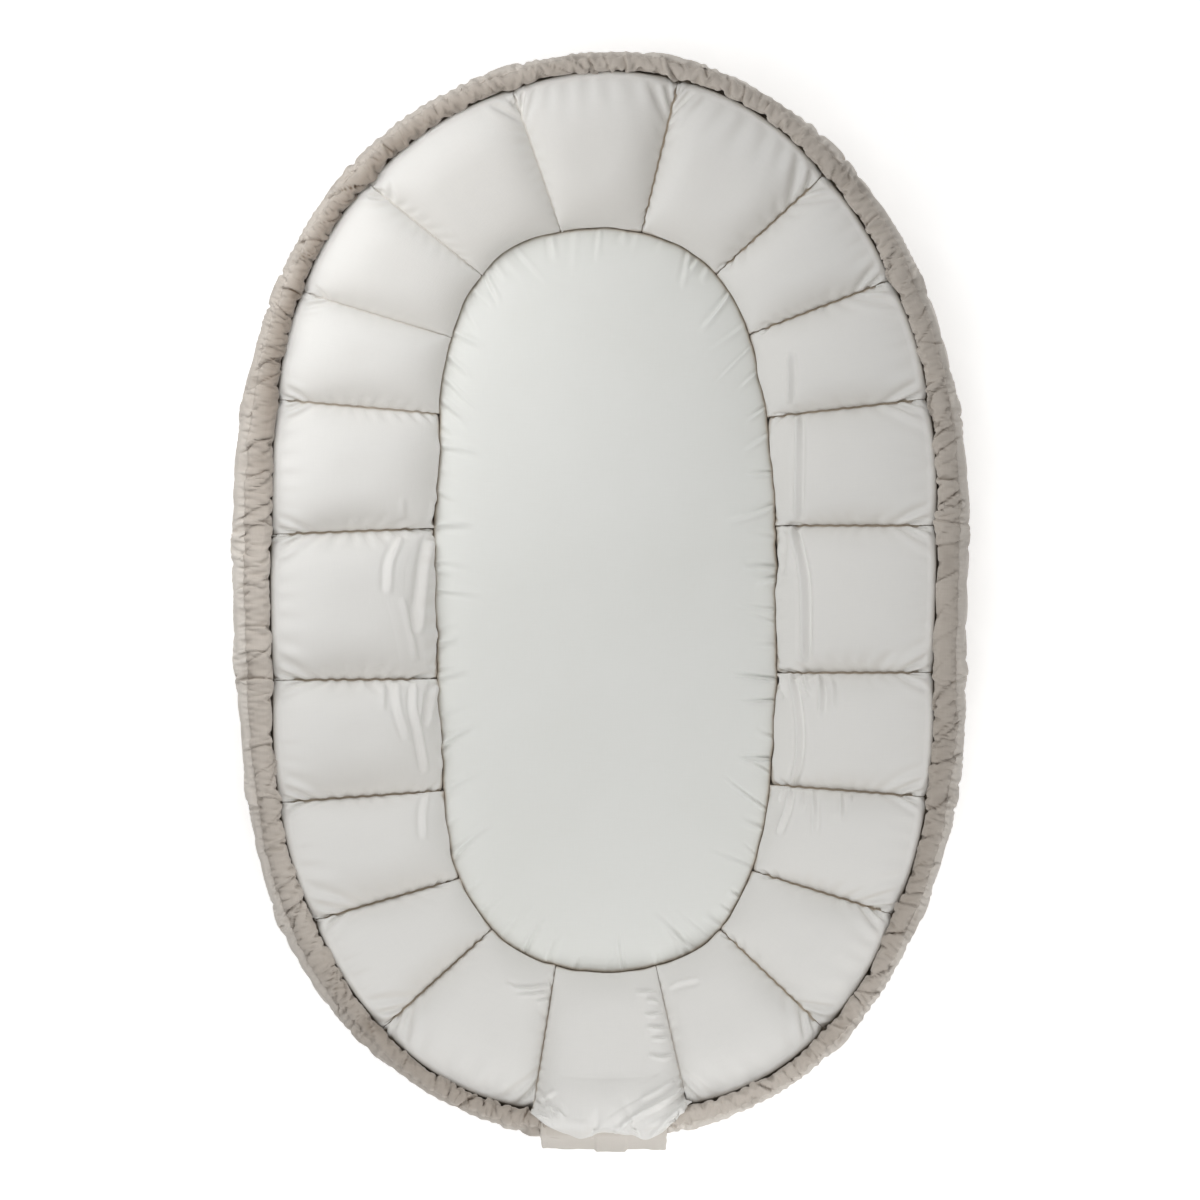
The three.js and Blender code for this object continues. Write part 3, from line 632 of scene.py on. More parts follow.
    # ironed along the seams: only some of the gathers there stay
    S = X.copy()
    for _ in range(14):
        S[:, 1:-1] = 0.5 * S[:, 1:-1] + 0.25 * (S[:, :-2] + S[:, 2:])
    rho = (((X[..., :2] - inner[:, None]) * d[:, None]).sum(-1)) / w1[:, None]
    keep = 0.25 + 0.45 * np.clip(noise2(across[None, :] * np.ones((n, 1)), 500.0 * k[:, None] * np.ones((1, m)), 26.0, seed + 7), 0, 1)
    iron = (1 - keep) * np.exp(-((u_mm / 17.0) ** 2)) * np.clip((rho - 0.10) / 0.12, 0, 1) * np.clip(((0.70 if foot else 0.86) - rho) / 0.10, 0, 1)
    X = X + (S - X) * (iron * (w > 0))[..., None]
    return dict(X=X, s=s, u=u, k=k, col=col, across=across, width=width, rest_u=rest_u, rest_v=rest_v)


FOOT_EDGE = [(71.0, -416.5, 119.0), (63.5, -425.5, 126.0), (53.5, -435.3, 126.0), (44.5, -441.2, 125.2), (36.0, -443.5, 123.4), (28.0, -440.0, 123.6), (20.6, -439.4, 124.0),
             (9.0, -438.0, 124.4), (0.0, -438.0, 123.8), (-8.0, -441.0, 122.4), (-16.5, -443.0, 122.0), (-25.0, -439.6, 124.4), (-32.9, -436.8, 126.0), (-45.3, -430.4, 128.0), (-57.0, -422.4, 120.5)]


# ---------------------------------------------------------------- the mattress: a loose oval pad
def mattress_grid():
    """Columns run anticlockwise round the outline; rows run from the middle of the underside out, up the edge and in to the
    middle of the top."""
    per = 1500
    a = np.linspace(0, 2 * np.pi, 4000, endpoint=False)
    edge = ring_point(MATTRESS_EDGE, a, -0.7)
    run = np.concatenate([[0], np.cumsum(np.linalg.norm(np.diff(np.vstack([edge, edge[:1]]), axis=0), axis=1))])
    at = np.linspace(0, run[-1], per, endpoint=False)
    ang = np.interp(at, run, np.append(a, 2 * np.pi))
    B = ring_point(MATTRESS_EDGE, ang, -0.7)
    M = middle_line(B)
    L = np.linalg.norm(M - B, axis=1)
    inward = (M - B) / L[:, None]
    # an uneven hand-filled edge
    wob = crease_wave(ang) + noise_round(at, run[-1], 15.0, 302) * 0.2

    top = 60 * np.linspace(0, 1, 40) ** 1.35
    share = np.linspace(0, 1, 14)[1:]
    low_rows = np.array([1.0, 0.66, 0.33]), np.array([34.0, 22.0, 13.0, 7.0, 3.4, 1.2, 0.25])
    D, T = [], []
    for q in low_rows[0]:
        D.append(34 + (L - 34) * q), T.append(-1)
    for q in low_rows[1]:
        D.append(np.full(per, q)), T.append(-1)
    for q in top:
        D.append(np.full(per, q)), T.append(1)
    for q in share:
        D.append(60 + (L - 60) * q), T.append(1)
    D, T = np.array(D).T, np.array(T)
    up = np.clip(1 - (1 - np.clip(D / 52.0, 0, 1)) ** 2.3, 0, 1) ** (1 / 2.5)
    down = np.clip(1 - (1 - np.clip(D / 30.0, 0, 1)) ** 2.0, 0, 1) ** 0.5
    z = np.where(T[None, :] > 0, 22.5 + 16.4 * up, 22.5 - 16.3 * down)
    X = np.empty((per, D.shape[1], 3))
    X[..., :2] = B[:, None] + inward[:, None] * (D - (wob[:, None] * np.exp(-D / 14)))[..., None]
    X[..., 2] = z
    # the crown is uneven, a little lower towards the foot
    upper = (T > 0)[None, :]
    flatter = np.clip(D / 25, 0, 1)
    soft = 0.7 * noise2(X[..., 0], X[..., 1], 95.0, 311, 1) + 0.22 * noise2(X[..., 0], X[..., 1], 34.0, 312, 1)
    X[..., 2] += np.where(upper, soft * flatter, 0)
    # short wrinkles run in from the sewn edge
    g = np.random.default_rng(321)
    pos, rise = 0.0, np.zeros(D.shape)
    while pos < run[-1]:
        pos += g.uniform(7, 34)
        side = np.interp(pos % run[-1], at, B[:, 0]) / 145
        amp = g.uniform(0.6, 2.7) * (0.9 + (1.5 if side > 0 else 0.9) * abs(side))
        length, width, lean = g.uniform(12, 48), g.uniform(1.4, 3.1) + (0.0 if side > 0 else 0.8), g.uniform(-0.35, 0.35)
        bow = g.uniform(-0.004, 0.004)
        t = (at[:, None] - pos + run[-1] / 2) % run[-1] - run[-1] / 2 - lean * D - bow * D**2
        q = t / (width * (0.8 + 0.5 * np.clip(D / length, 0, 1.4)))
        shape = (np.exp(-(q**2)) - 0.75 * np.exp(-((q - 1.5) ** 2)))
        rise += amp * shape * np.clip(D / 4.0, 0, 1) * np.clip(1 - D / length, 0, 1) ** 0.9
    X[..., 2] += np.where(upper, rise, 0)
    # the sewn edge
    pucker = noise_round(at, run[-1], 3.4, 331)[:, None] * np.exp(-D / 4.5)
    X[..., :2] += (inward[:, None] * (0.35 * pucker + 0.3 * np.exp(-(((z - 22.5) / 1.6) ** 2)) * (D < 3.5))[..., None])
    return X, at, D, T, run[-1]


def middle_line(B, step=4.0):
    """For each point of the outline, the point of the oval's middle line that its column runs to."""
    return np.stack([0 * B[:, 0], np.clip(np.round(B[:, 1] * 0.56 / step) * step, -44 * step, 44 * step)], -1)


def noise_round(x, length, wave, seed):
    """Noise of one variable that closes on itself after length."""
    k = max(3, int(round(length / wave)))
    g = np.random.default_rng(seed)
    table = g.uniform(-1, 1, k)
    y = np.asarray(x) / length * k
    i = np.floor(y).astype(int)
    f = y - i
    f = f * f * (3 - 2 * f)
    return table[i % k] * (1 - f) + table[(i + 1) % k] * f


def closed_grid(X, flip=False):
    """Quads of a grid that closes on itself along its columns."""
    n, m = X.shape[:2]
    i, j = np.meshgrid(np.arange(n), np.arange(m - 1), indexing="ij")
    a = (i * m + j).ravel()
    b = (((i + 1) % n) * m + j).ravel()
    q = np.stack([a, b, b + 1, a + 1], -1)
    return q[:, ::-1] if flip else q


# ---------------------------------------------------------------- materials
def shader(name, rough, base=None, sheen=0.0, metal=0.0, specular=0.5, coat=0.0):
    m = bpy.data.materials.new(name)
    m.use_nodes = True
    nt = m.node_tree
    b = nt.nodes["Principled BSDF"]
    b.inputs["Roughness"].default_value = rough
    b.inputs["Metallic"].default_value = metal
    b.inputs["Specular IOR Level"].default_value = specular
    b.inputs["Sheen Weight"].default_value = sheen
    b.inputs["Sheen Roughness"].default_value = 0.45
    b.inputs["Coat Weight"].default_value = coat
    if base:
        b.inputs["Base Color"].default_value = (*base, 1)
    return m, nt, b


class Net:
    """Short names for making shader nodes."""

    def __init__(self, tree):
        self.t = tree

    def node(self, kind, **values):
        n = self.t.nodes.new(kind)
        for k, v in values.items():
            setattr(n, k, v)
        return n

    def put(self, value, socket):
        if hasattr(value, "default_value") or hasattr(value, "is_linked"):
            self.t.links.new(value, socket)
        else:
            socket.default_value = value

    def math(self, op, a, b=0.0, clamp=False):
        n = self.node("ShaderNodeMath", operation=op, use_clamp=clamp)
        self.put(a, n.inputs[0])
        self.put(b, n.inputs[1])
        return n.outputs[0]

    def noise(self, vec, scale, detail=2.0, rough=0.5, distort=0.0):
        n = self.node("ShaderNodeTexNoise")
        self.put(vec, n.inputs["Vector"])
        n.inputs["Scale"].default_value = scale
        n.inputs["Detail"].default_value = detail
        n.inputs["Roughness"].default_value = rough
        n.inputs["Distortion"].default_value = distort
        return n.outputs["Fac"]

    def stretched(self, vec, sx, sy, sz=1.0, turn=0.0):
        n = self.node("ShaderNodeMapping")
        self.put(vec, n.inputs["Vector"])
        n.inputs["Scale"].default_value = (sx, sy, sz)
        n.inputs["Rotation"].default_value = (0, 0, turn)
        return n.outputs["Vector"]

    def span(self, v, a, b, c, d):
        n = self.node("ShaderNodeMapRange")
        self.put(v, n.inputs["Value"])
        for k, x in zip(("From Min", "From Max", "To Min", "To Max"), (a, b, c, d)):
            n.inputs[k].default_value = x
        return n.outputs["Result"]

    def mix(self, f, a, b):
        n = self.node("ShaderNodeMix", data_type="RGBA")
        self.put(f, n.inputs["Factor"])
        self.put(a, n.inputs[6])
        self.put(b, n.inputs[7])
        return n.outputs[2]

    def bump(self, height, strength, distance, after=None):
        n = self.node("ShaderNodeBump")
        self.put(height, n.inputs["Height"])
        n.inputs["Strength"].default_value = strength
        n.inputs["Distance"].default_value = distance
        if after is not None:
            self.put(after, n.inputs["Normal"])
        return n.outputs["Normal"]


def cotton(name, light, dark, rough, crinkle, crinkle_mm, sheen, thread_mm=0.45, painted_shade_colour=None):
    """Plain-woven cotton. UVs are in units of 100 mm along and across the cloth; other scales are in metres of the object."""
    m, nt, b = shader(name, rough, sheen=sheen, specular=0.25)
    k = Net(nt)
    uv = k.node("ShaderNodeUVMap", uv_map="cloth").outputs["UV"]
    obj = k.node("ShaderNodeTexCoord").outputs["Object"]
    turns = 2 * math.pi / (20 * thread_mm / 100)
    warp = k.node("ShaderNodeTexWave", wave_type="BANDS", bands_direction="X", wave_profile="SIN")
    weft = k.node("ShaderNodeTexWave", wave_type="BANDS", bands_direction="Y", wave_profile="SIN")
    for w in (warp, weft):
        k.put(uv, w.inputs["Vector"])
        w.inputs["Scale"].default_value = turns
        w.inputs["Distortion"].default_value = 0.35
        w.inputs["Detail"].default_value = 1.0
        w.inputs["Detail Scale"].default_value = 0.6
    # uneven threads
    slub_u = k.noise(k.stretched(uv, 6.0, 150.0), 1.0, 3.0, 0.6)
    slub_v = k.noise(k.stretched(uv, 150.0, 6.0), 1.0, 3.0, 0.6)
    threads = k.math("MULTIPLY", k.math("ADD", slub_u, slub_v), 0.5)
    weave = k.math("MULTIPLY", warp.outputs["Fac"], weft.outputs["Fac"])
    broad = k.noise(obj, 9.0, 2.0, 0.5)
    tone = k.math("ADD", k.math("MULTIPLY", threads, 0.55), k.math("MULTIPLY", broad, 0.45))
    tone = k.span(tone, 0.36, 0.64, 0.0, 1.0)
    colour = k.mix(tone, (*dark, 1), (*light, 1))
    if painted_shade_colour:
        # painted shade: the point attribute seam mixes a warm dark colour into seams, fold bottoms, gaps and flanks
        # turned from the light; along the seam lines it also stands for the sewing thread
        deep = k.node("ShaderNodeAttribute", attribute_name="seam").outputs["Fac"]
        colour = k.mix(deep, colour, (*painted_shade_colour, 1))
    k.put(colour, b.inputs["Base Color"])
    # creases left by washing, the threads, and the weave
    wash = k.noise(obj, 1000.0 / crinkle_mm / 2.2, 3.0, 0.55, 0.6)
    wash2 = k.noise(k.stretched(uv, 4.5, 11.0), 1.0, 3.0, 0.5, 0.8)
    n = k.bump(wash, 0.55, 0.001 * crinkle)
    n = k.bump(wash2, 0.45, 0.001 * crinkle, n)
    n = k.bump(threads, 0.35, 0.00018, n)
    n = k.bump(weave, 0.25, 0.00009, n)
    k.put(n, b.inputs["Normal"])
    k.put(k.span(threads, 0.35, 0.65, rough - 0.04, min(1.0, rough + 0.05)), b.inputs["Roughness"])
    return m


def srgb(*c):
    return tuple(x / 255 / 12.92 if x / 255 <= 0.04045 else ((x / 255 + 0.055) / 1.055) ** 2.4 for x in c)


# painted_shade_colour is the warm dark colour painted into seams, creases, fold bottoms and gaps, where shade falls
CREAM = cotton("cream_cotton", srgb(239, 238, 235), srgb(235, 234, 231), 0.86, 0.48, 11.0, 0.12, painted_shade_colour=srgb(176, 159, 137))
PAD = cotton("cream_cotton_pad", srgb(237, 238, 235), srgb(233, 234, 230), 0.86, 0.36, 14.0, 0.12, painted_shade_colour=srgb(190, 174, 152))
# painted light: the shell is the same beige cloth as the casing, made lighter to stand in for the light falling on its
# outer strip from the sides
PAINTED_LIGHTER_BEIGE = cotton("beige_cotton_shell_painted_lighter", srgb(226, 220, 212), srgb(214, 207, 199), 0.88, 0.42, 6.0, 0.15, painted_shade_colour=srgb(112, 97, 82))
BEIGE = cotton("beige_cotton", srgb(208, 200, 191), srgb(195, 186, 176), 0.88, 0.42, 6.0, 0.15, painted_shade_colour=srgb(112, 97, 82))
FLAP = cotton("beige_cotton_flap", srgb(212, 206, 198), srgb(204, 197, 188), 0.88, 0.2, 9.0, 0.15)


def braid_material():
    m, nt, b = shader("drawstring_cord", 0.85, sheen=0.15, specular=0.25)
    k = Net(nt)
    uv = k.node("ShaderNodeUVMap", uv_map="cloth").outputs["UV"]
    fibre = k.noise(k.stretched(uv, 30.0, 8.0, 1.0, 0.6), 1.0, 3.0, 0.6)
    k.put(k.mix(k.span(fibre, 0.35, 0.65, 0, 1), (*srgb(176, 163, 150), 1), (*srgb(201, 189, 177), 1)), b.inputs["Base Color"])
    k.put(k.bump(fibre, 0.5, 0.0002), b.inputs["Normal"])
    return m


def plastic_material():
    m, nt, b = shader("lock_plastic", 0.42, specular=0.5)
    k = Net(nt)
    obj = k.node("ShaderNodeTexCoord").outputs["Object"]
    grain = k.noise(obj, 2600.0, 2.0, 0.5)
    cloud = k.noise(obj, 120.0, 2.0, 0.5)
    k.put(k.mix(k.span(cloud, 0.35, 0.65, 0, 1), (*srgb(176, 164, 151), 1), (*srgb(184, 172, 160), 1)), b.inputs["Base Color"])
    k.put(k.span(grain, 0.3, 0.7, 0.36, 0.5), b.inputs["Roughness"])
    k.put(k.bump(grain, 0.35, 0.00006), b.inputs["Normal"])
    return m


def steel_material():
    m, nt, b = shader("spring_steel", 0.28, (0.62, 0.62, 0.63), metal=1.0)
    k = Net(nt)
    obj = k.node("ShaderNodeTexCoord").outputs["Object"]
    drawn = k.noise(k.stretched(obj, 300.0, 4000.0, 4000.0), 1.0, 2.0, 0.5)
    k.put(k.span(drawn, 0.3, 0.7, 0.22, 0.36), b.inputs["Roughness"])
    k.put(k.mix(k.span(drawn, 0.3, 0.7, 0, 1), (0.55, 0.55, 0.56, 1), (0.68, 0.68, 0.69, 1)), b.inputs["Base Color"])
    return m


BRAID, PLASTIC, STEEL = braid_material(), plastic_material(), steel_material()


# ---------------------------------------------------------------- meshes
def grid_faces(n, m, flip=False):
    i, j = np.meshgrid(np.arange(n - 1), np.arange(m - 1), indexing="ij")
    a = (i * m + j).ravel()
    q = np.stack([a, a + m, a + m + 1, a + 1], -1)
    return q[:, ::-1] if flip else q


def make_mesh(name, verts_mm, quads, uv, material):
    """A smooth mesh from points in mm and quads. uv is in mm along and across the cloth, one per point or one per corner."""
    me = bpy.data.meshes.new(name)
    v = np.asarray(verts_mm, np.float64).reshape(-1, 3) * 0.001
    quads = np.asarray(quads)
    me.vertices.add(len(v))
    me.vertices.foreach_set("co", v.astype(F).ravel())
    loops = quads.ravel().astype(np.int32)
    me.loops.add(len(loops))
    me.loops.foreach_set("vertex_index", loops)
    me.polygons.add(len(quads))
    me.polygons.foreach_set("loop_start", (np.arange(len(quads)) * 4).astype(np.int32))
    me.polygons.foreach_set("use_smooth", np.ones(len(quads), bool))
    layer = me.uv_layers.new(name="cloth")
    uv = np.asarray(uv, F)
    layer.data.foreach_set("uv", ((uv if len(uv) == len(loops) and len(uv) != len(v) else uv[loops]) / F(100)).ravel())
    me.update(calc_edges=True)
    me.validate()
    me.materials.append(material)
    ob = bpy.data.objects.new(name, me)
    bpy.context.scene.collection.objects.link(ob)
    return ob


def weld(ob, mm=0.02):
    bm = bmesh.new()
    bm.from_mesh(ob.data)
    bmesh.ops.remove_doubles(bm, verts=bm.verts, dist=mm * 0.001)
    bmesh.ops.dissolve_degenerate(bm, dist=1e-6, edges=bm.edges)
    for f in bm.faces:
        f.smooth = True
    bm.to_mesh(ob.data)
    bm.free()



def length_uv(rest_u, rest_v, n, m):
    """Flat cloth coordinates in mm from the thread lengths of a grid."""
    along = np.concatenate([[0], np.cumsum(rest_u.mean(1))])
    over = np.concatenate([[0], np.cumsum(rest_v.mean(0))])
    return np.stack(np.broadcast_arrays(along[:, None], over[None, :]), -1).reshape(-1, 2)


# ---------------------------------------------------------------- the drawstring: one braided cord in the tunnel, its tails through the lock
LOCK = (3.0, -444.6, 73.0)


def spline(points, step):
    p = np.array(points, float)
    fine = rows([tuple(q) for q in p], 24 * len(p))
    run = np.concatenate([[0], np.cumsum(np.linalg.norm(np.diff(fine, axis=0), axis=1))])
    at = np.linspace(0, run[-1], max(2, int(run[-1] / step) + 1))
    return np.stack([np.interp(at, run, fine[:, j]) for j in range(3)], -1)


def cord_route():
    s = np.linspace(9.7, 29.27, 74)
    inner, d, w1, w2, low = sections(s)
    at = inner + d * (w1 + 0.34 * w2)[:, None]
    axis = np.concatenate([at, lifted(np.full(len(s), 120.5), low)[:, None]], 1)
    x0, y0, _ = LOCK

    def tail(side, mouth):
        x = x0 + side * 2.2
        return [(x, y0, 46), (x, y0, 56), (x, y0, 66), (x, y0, 80), (x + side * 0.1, y0 + 0.8, 85), (x + side * 1.6, -440.9, 95), (x + side * 6, -439.6, 104),
                ((x + mouth[0]) / 2 + side, -438.3, 111.4), (mouth[0] - side * 6, (mouth[1] - 436.4) / 2, mouth[2] - 2.2)]

    return tail(-1, axis[0]), [tuple(q) for q in axis], tail(1, axis[-1])[::-1]


def tube(path, radius_at, sides, closed_ends=True):
    """Rings round a path. radius_at(i, angles) gives the radii of ring i."""
    tan = np.gradient(path, axis=0)
    tan /= np.linalg.norm(tan, axis=1, keepdims=True)
    normal = np.array([0.0, 1.0, 0.0])
    a = 2 * np.pi * np.arange(sides) / sides
    out = []
    for i, (p, t) in enumerate(zip(path, tan)):
        normal = normal - t * normal.dot(t)
        normal /= np.linalg.norm(normal)
        b = np.cross(t, normal)
        r = radius_at(i, a)
        out.append(p + (r * np.cos(a))[:, None] * normal + (r * np.sin(a))[:, None] * b)
    return np.array(out)


def tube_faces(n, sides, base=0):
    i, j = np.meshgrid(np.arange(n - 1), np.arange(sides), indexing="ij")
    a = (base + i * sides + j).ravel()
    b = (base + i * sides + (j + 1) % sides).ravel()
    return np.stack([a, b, b + sides, a + sides], -1)


def make_cord():
    left, axis, right = cord_route()
    path = spline(left + axis[1:-1] + right, 1.0)
    n, sides = len(path), 16
    run = np.concatenate([[0], np.cumsum(np.linalg.norm(np.diff(path, axis=0), axis=1))])

    def radius_at(i, a):
        # eight strands braided both ways
        x = 2 * np.pi * run[i] / 7.5
        end = min(run[i], run[-1] - run[i])
        return (1.96 + 0.13 * np.cos(4 * a + x * 2) * np.cos(4 * a - x * 2)) * (0.55 if end < 0.5 else 1.0)

    rings = tube(path, radius_at, sides)
    # close the ends with a small ring each
    first, last = path[0] + (rings[0] - path[0]) * 0.05, path[-1] + (rings[-1] - path[-1]) * 0.05
    V = np.concatenate([[first], rings, [last]])
    ang = np.arange(sides) / sides * 12.4
    uv = np.stack(np.broadcast_arrays(np.concatenate([[0], run, [run[-1]]])[:, None], ang[None, :]), -1).reshape(-1, 2)
    quads = tube_faces(n + 2, sides)
    V = [V.reshape(-1, 3)]
    Q, U = [quads], [uv]
    count = len(V[0])
    # an overhand knot on each tail, with the cut end below it
    for side in (-1, 1):
        c = np.array([LOCK[0] + side * 2.35, LOCK[1], 46.0])
        nu, nv = 36, 22
        th = np.linspace(0, np.pi, nv)
        ph = 2 * np.pi * np.arange(nu) / nu
        T, P = np.meshgrid(th, ph, indexing="ij")
        wraps = 0.16 * np.abs(np.sin(2.0 * P + 2.6 * np.cos(T) * 1.6 * side)) ** 0.7
        r = (0.86 + wraps) * 1.0
        pts = np.stack([2.15 * r * np.sin(T) * np.cos(P), 3.4 * r * np.sin(T) * np.sin(P), 4.3 * r * np.cos(T)], -1) + c
        i, j = np.meshgrid(np.arange(nv - 1), np.arange(nu), indexing="ij")
        a, b = count + (i * nu + j).ravel(), count + (i * nu + (j + 1) % nu).ravel()
        Q.append(np.stack([a, a + nu, b + nu, b], -1))
        V.append(pts.reshape(-1, 3))
        U.append(np.stack([P * 3.2, T * 4.0], -1).reshape(-1, 2))
        count += nu * nv
    ob = make_mesh("drawcord", np.concatenate(V), np.concatenate(Q), np.concatenate(U), BRAID)
    weld(ob, 0.01)
    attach(ob, "nest")
    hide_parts("drawstring")
    return run[-1]


cord_length = make_cord()
say("cord", round(cord_length))


# ---------------------------------------------------------------- the rim and the shell
OUT = simulate_outside()
say("outside", OUT["X"].shape)


def finer(X, times):
    """The same surface with times as many columns, on smooth curves through the old ones."""
    n = len(X)
    P = np.concatenate([2 * X[:1] - X[1:2], X, 2 * X[-1:] - X[-2:-1]])
    out = np.empty(((n - 1) * times + 1,) + X.shape[1:])
    for j in range(times):
        t = j / times
        a, b, c, d = P[:-3], P[1:-2], P[2:-1], P[3:]
        out[j:-1:times] = 0.5 * (2 * b + (c - a) * t + (2 * a - 5 * b + 4 * c - d) * t * t + (3 * b - 3 * c + d - a) * t**3)
    out[-1] = X[-1]
    return out


def finer_rows(X, times, upto):
    """times as many rows as far as row upto."""
    return np.concatenate([np.swapaxes(finer(np.swapaxes(X[:, : upto + 1], 0, 1), times), 0, 1), X[:, upto + 1 :]], 1)


def pleats(X, seed, stitch):
    """Short pleats where the gathering stitches pull the cloth: a groove with a ridge beside it, running a few mm to both sides."""
    line = X[:, stitch]
    at = np.concatenate([[0], np.cumsum(np.linalg.norm(np.diff(line, axis=0), axis=1))])
    dv = np.linalg.norm(np.diff(X, axis=1), axis=2).mean(0)
    row = np.concatenate([[0], np.cumsum(dv)])
    row = row - row[stitch]
    lift = np.zeros(X.shape[:2])
    g = np.random.default_rng(seed)
    pos = 1.0
    while pos < at[-1] - 1:
        busy = 0.5 + 0.5 * float(smooth_noise(np.array([pos]), 90.0, seed + 1)[0])
        depth = g.uniform(0.3, 1.0) * (0.5 + 0.7 * busy)
        wide, lean, curve = g.uniform(0.9, 1.7), g.uniform(-0.55, 0.55), g.uniform(-0.03, 0.03)
        up, down = g.uniform(5.0, 15.0), g.uniform(4.0, 10.0)
        i0, i1 = np.searchsorted(at, pos - 12), np.searchsorted(at, pos + 12)
        v = row[None, :]
        q = (at[i0:i1, None] - pos - lean * v - curve * v * v) / wide
        reach = np.where(v < 0, np.clip(1 + v / up, 0, 1), np.clip(1 - v / down, 0, 1)) ** 0.8
        side = 1.0 if g.random() < 0.5 else -1.0
        lift[i0:i1] += depth * reach * (0.62 * np.exp(-((q - 1.7 * side) ** 2) / 1.6) - np.exp(-(q**2)))
        pos += g.uniform(3.2, 11.5) * (1.35 - 0.6 * busy)
    return lift


def overlaps(X, s, seed, stitch):
    """Slanting folds of the gathered rim, each lapping over the next: a slow rise and then a steep drop. They lean the same way
    all round, as the cloth is drawn along inside the tunnel."""
    line = X[:, stitch]
    run = np.concatenate([[0], np.cumsum(np.linalg.norm(np.diff(line, axis=0), axis=1))])
    row = np.concatenate([[0], np.cumsum(np.linalg.norm(np.diff(X, axis=1), axis=2).mean(0))])
    v = (row - row[stitch])[None, :]
    lift = 1.1 * noise2(run[:, None], v, 24.0, seed + 4, 2)
    g = np.random.default_rng(seed)
    pos = -10.0
    while pos < run[-1] + 10:
        busy = float(np.clip(0.75 + 0.75 * smooth_noise(np.array([pos + 50]), 42.0, seed + 1)[0], 0.2, 1.35))
        at = np.interp(pos, run, s)
        # tight gathers left of the flap, a smoother stretch right of it
        fan = 1.0 if 9.68 < at < 10.32 else 0.0
        calm = 0.45 if at > 28.55 else 1.0
        height = g.uniform(0.8, 2.5) * (0.55 + 0.6 * busy) * calm * (1 + 0.35 * fan)
        tail = g.uniform(3.0, 9.0) * (1 - 0.45 * fan)
        lean = g.normal(0.62, 0.42) * (1 - 0.7 * fan)
        bow = g.uniform(-0.012, 0.012)
        outer = g.uniform(-5.0, 9.0)
        inner = g.uniform(-44.0, -14.0)
        turned = -1.0 if g.random() < 0.3 else 1.0
        wide = g.uniform(0.5, 1.1)
        i0, i1 = np.searchsorted(run, pos - 52), np.searchsorted(run, pos + 52)
        if i1 - i0 > 3:
            q = turned * (run[i0:i1, None] + lean * v + bow * v * v - pos)
            t = np.clip(q / (2 * wide) + 0.5, 0, 1)
            shape = t * t * (3 - 2 * t) * np.exp(-np.clip(q, 0, None) / tail) - 0.55 * np.exp(-(((q + 1.3 * wide) / (1.1 * wide)) ** 2))
            reach = np.clip((outer - v) / 5.0, 0, 1) * np.clip((v - inner) / 9.0, 0, 1)
            lift[i0:i1] += height * shape * reach
        pos += g.uniform(8.0, 25.0) * (1.3 - 0.5 * busy) * (1 - 0.55 * fan)
    lift = np.clip(1.15 * lift, -2.8, 2.8)
    return lift * np.clip((v + 36.0) / 5.0, 0, 1) * np.clip(1 - (v - 12.0) / 24.0, 0, 1)


